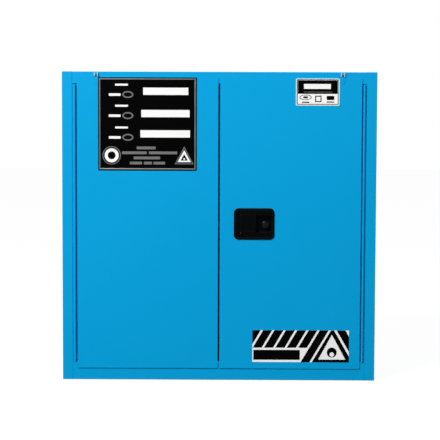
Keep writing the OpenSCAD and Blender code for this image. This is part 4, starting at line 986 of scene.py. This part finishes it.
# Earth stud: a round head inside the wall, a plain shank through it and a thread at its outer end.
def buildEarthStud():
    low, high = boxInMm("earth_stud")
    centre = across(low, high, "x")[0]
    wall = boxInMm("outer_side_right")[1][0]
    inside, outside = low[0], high[0]
    head, shank = earthStud["headRadius"], earthStud["shankRadius"]
    headEnd, step = inside + earthStud["headThick"], outside - earthStud["threadLength"]
    headProfile = [(head - 0.6, inside), (head, inside + 0.6), (head, headEnd - 0.1), (shank, headEnd)]
    shankProfile = [(shank, headEnd - 1.0), (shank, wall), (shank, step - 0.2), (shank - 0.3, step)]
    parts = [turned(centre, headProfile, "x"), turned(centre, shankProfile, "x"),
             threaded(centre, earthStud["threadRadius"], step - 0.4, outside, earthStud["pitch"],
                      earthStud["thread"], "x")]
    addPiece("earthStud", meshFrom("earthStud", parts), "brass", "carcass", ["earth_stud"])


buildEarthStud()

bracket = {"width": 14.6, "cheek": 4.0, "cheekGap": 0.2, "plate": 1.4, "corner": 1.0, "pinRadius": 1.2,
           "pinIn": 3.0}


# Roller brackets on the head: a painted plate, two bright cheeks and the roller's pin, on either side. The
# cheeks' pale cyan colour is a painted highlight and a painted reflection of the blue paint around them.
def buildBrackets():
    low, high = boxInMm("roller_brackets")
    centre = across(*boxInMm("roller_right"), "x")[0]
    back, front, cheek, gap = high[1], low[1], bracket["cheek"], bracket["cheekGap"]
    plates, bright = [], []
    for side in (-1, 1):
        left, right = sorted((side * high[0], side * (high[0] - bracket["width"])))
        plates.append(slab((left, back - bracket["plate"], low[2]), (right, back, high[2]), "y", 1.0, 0.3))
        for x in (left, right - cheek):
            bright.append(slab((x + gap, front, low[2]), (x + cheek - gap, back - 0.4, high[2]), "z",
                               bracket["corner"], 0.6))
        bright.append(turned(centre, [(bracket["pinRadius"], left + bracket["pinIn"]),
                                      (bracket["pinRadius"], right - bracket["pinIn"])], "x", around=24))
    addPiece("bracketPlates", meshFrom("bracketPlates", plates), "bluePaint", "carcass",
             ["roller_brackets"])
    addPiece("bracketCheeks", meshFrom("bracketCheeks", bright), "bracketZincPaintedReflection", "carcass")


buildBrackets()
print("trays, vents, feet, stud and brackets built")

# Stage: a mirror or glass sees the front of the room at mirrorFront and its back at mirrorBack.
studio = {"floorHalf": 60.0, "floorTone": 0.1, "floorGlow": 0.95, "floorMirror": 0.1, "ambient": 0.32,
          "mirrorFront": 0.05, "mirrorBack": 1.0, "mirrorBlend": 0.4}


# One where a reflection or a view through glass asks for the light, and zero elsewhere.
def mirrorRays(tree, path):
    return mathNode(tree, "MAXIMUM", path.outputs["Is Glossy Ray"], path.outputs["Is Transmission Ray"])


# Floor: it glows white to the camera, a little to reflections, and is a dark matt floor for other light.
def buildFloor():
    side = studio["floorHalf"]
    mesh = bpy.data.meshes.new("floor")
    corners = [(-side, -side, 0), (side, -side, 0), (side, side, 0), (-side, side, 0)]
    mesh.from_pydata(corners, [], [(0, 1, 2, 3)])
    plane = bpy.data.objects.new("floor", mesh)
    bpy.context.scene.collection.objects.link(plane)
    material = bpy.data.materials.new("paleFloor")
    material.use_nodes = True
    tree = material.node_tree
    tree.nodes.clear()
    link = tree.links.new
    matt = addNode(tree, "ShaderNodeBsdfDiffuse", {"Color": (*[studio["floorTone"]] * 3, 1)})
    glow = addNode(tree, "ShaderNodeEmission", {"Color": (1, 1, 1, 1)})
    path = addNode(tree, "ShaderNodeLightPath")
    seen = mathNode(tree, "MAXIMUM", path.outputs["Is Camera Ray"],
                    mathNode(tree, "MULTIPLY", mirrorRays(tree, path), studio["floorMirror"]))
    link(mathNode(tree, "MULTIPLY", seen, studio["floorGlow"]), glow.inputs["Strength"])
    both = addNode(tree, "ShaderNodeAddShader")
    end = addNode(tree, "ShaderNodeOutputMaterial")
    link(matt.outputs[0], both.inputs[0])
    link(glow.outputs[0], both.inputs[1])
    link(both.outputs[0], end.inputs["Surface"])
    mesh.materials.append(material)


# World: white where the camera or a reflection sees the backdrop, a plain level for all other light,
# and a dimmer room on the camera's side of the studio.
def buildWorld():
    world = bpy.data.worlds.new("studio")
    bpy.context.scene.world = world
    world.use_nodes = True
    tree = world.node_tree
    tree.nodes.clear()
    link = tree.links.new
    path = addNode(tree, "ShaderNodeLightPath")
    place = addNode(tree, "ShaderNodeTexCoord")
    split = addNode(tree, "ShaderNodeSeparateXYZ")
    link(place.outputs["Generated"], split.inputs[0])
    blend = {"From Min": -studio["mirrorBlend"], "From Max": studio["mirrorBlend"],
             "To Min": studio["mirrorFront"], "To Max": studio["mirrorBack"]}
    behind = addNode(tree, "ShaderNodeMapRange", blend)
    link(split.outputs["Y"], behind.inputs["Value"])
    change = mathNode(tree, "SUBTRACT", behind.outputs[0], studio["ambient"])
    mirrored = mathNode(tree, "MULTIPLY", mirrorRays(tree, path), change)
    soft = mathNode(tree, "ADD", studio["ambient"], mirrored)
    back = addNode(tree, "ShaderNodeBackground", {"Color": (1, 1, 1, 1)})
    end = addNode(tree, "ShaderNodeOutputWorld")
    link(mathNode(tree, "MAXIMUM", soft, path.outputs["Is Camera Ray"]), back.inputs["Strength"])
    link(back.outputs[0], end.inputs["Surface"])


lamps = {"key": {"place": (-3.0, -4.2, 4.6), "aim": (0.0, -0.2, 0.6), "size": 1.8, "power": 456.0},
         "fill": {"place": (3.0, -3.2, 2.4), "aim": (0.0, -0.2, 0.5), "size": 2.4, "power": 20.0}}


def addLamp(name, place, aim, size, power):
    lamp = bpy.data.lights.new(name, "AREA")
    lamp.shape = "SQUARE"
    lamp.size = size
    lamp.energy = power
    holder = bpy.data.objects.new(name, lamp)
    holder.location = place
    holder.rotation_euler = (Vector(aim) - Vector(place)).to_track_quat("-Z", "Y").to_euler()
    bpy.context.scene.collection.objects.link(holder)


# Target and distance in mm, turns in degrees, focal length in pixels of a picture imageWidth wide.
view = {"target": (3.59, -226.5, 563.9), "distance": 4000.0, "yaw": -0.417, "pitch": 3.253, "roll": 0.202,
        "focal": 1151.0, "imageWidth": 440.0, "sensor": 36.0, "farthest": 200.0}


# The camera looks along the yaw and pitch found from the photograph's perspective.
def buildCamera():
    yaw, pitch, roll = (math.radians(view[key]) for key in ("yaw", "pitch", "roll"))
    forward = Vector((math.sin(yaw) * math.cos(pitch), math.cos(yaw) * math.cos(pitch), -math.sin(pitch)))
    flatRight = Vector((math.cos(yaw), -math.sin(yaw), 0))
    flatUp = flatRight.cross(forward)
    right = math.cos(roll) * flatRight + math.sin(roll) * flatUp
    up = -math.sin(roll) * flatRight + math.cos(roll) * flatUp
    data = bpy.data.cameras.new("camera")
    data.sensor_width = view["sensor"]
    data.lens = view["focal"] / view["imageWidth"] * view["sensor"]
    data.clip_end = view["farthest"]
    camera = bpy.data.objects.new("camera", data)
    place = (Vector(view["target"]) - view["distance"] * forward) * mm
    turn = Matrix((right, up, -forward)).transposed().to_4x4()
    camera.matrix_world = Matrix.Translation(place) @ turn
    bpy.context.scene.collection.objects.link(camera)
    bpy.context.scene.camera = camera


buildFloor()
buildWorld()
for lampName, lampValues in lamps.items():
    addLamp(lampName, **lampValues)
buildCamera()
bpy.context.scene.view_settings.view_transform = "Standard"
print("stage, light and camera ready")
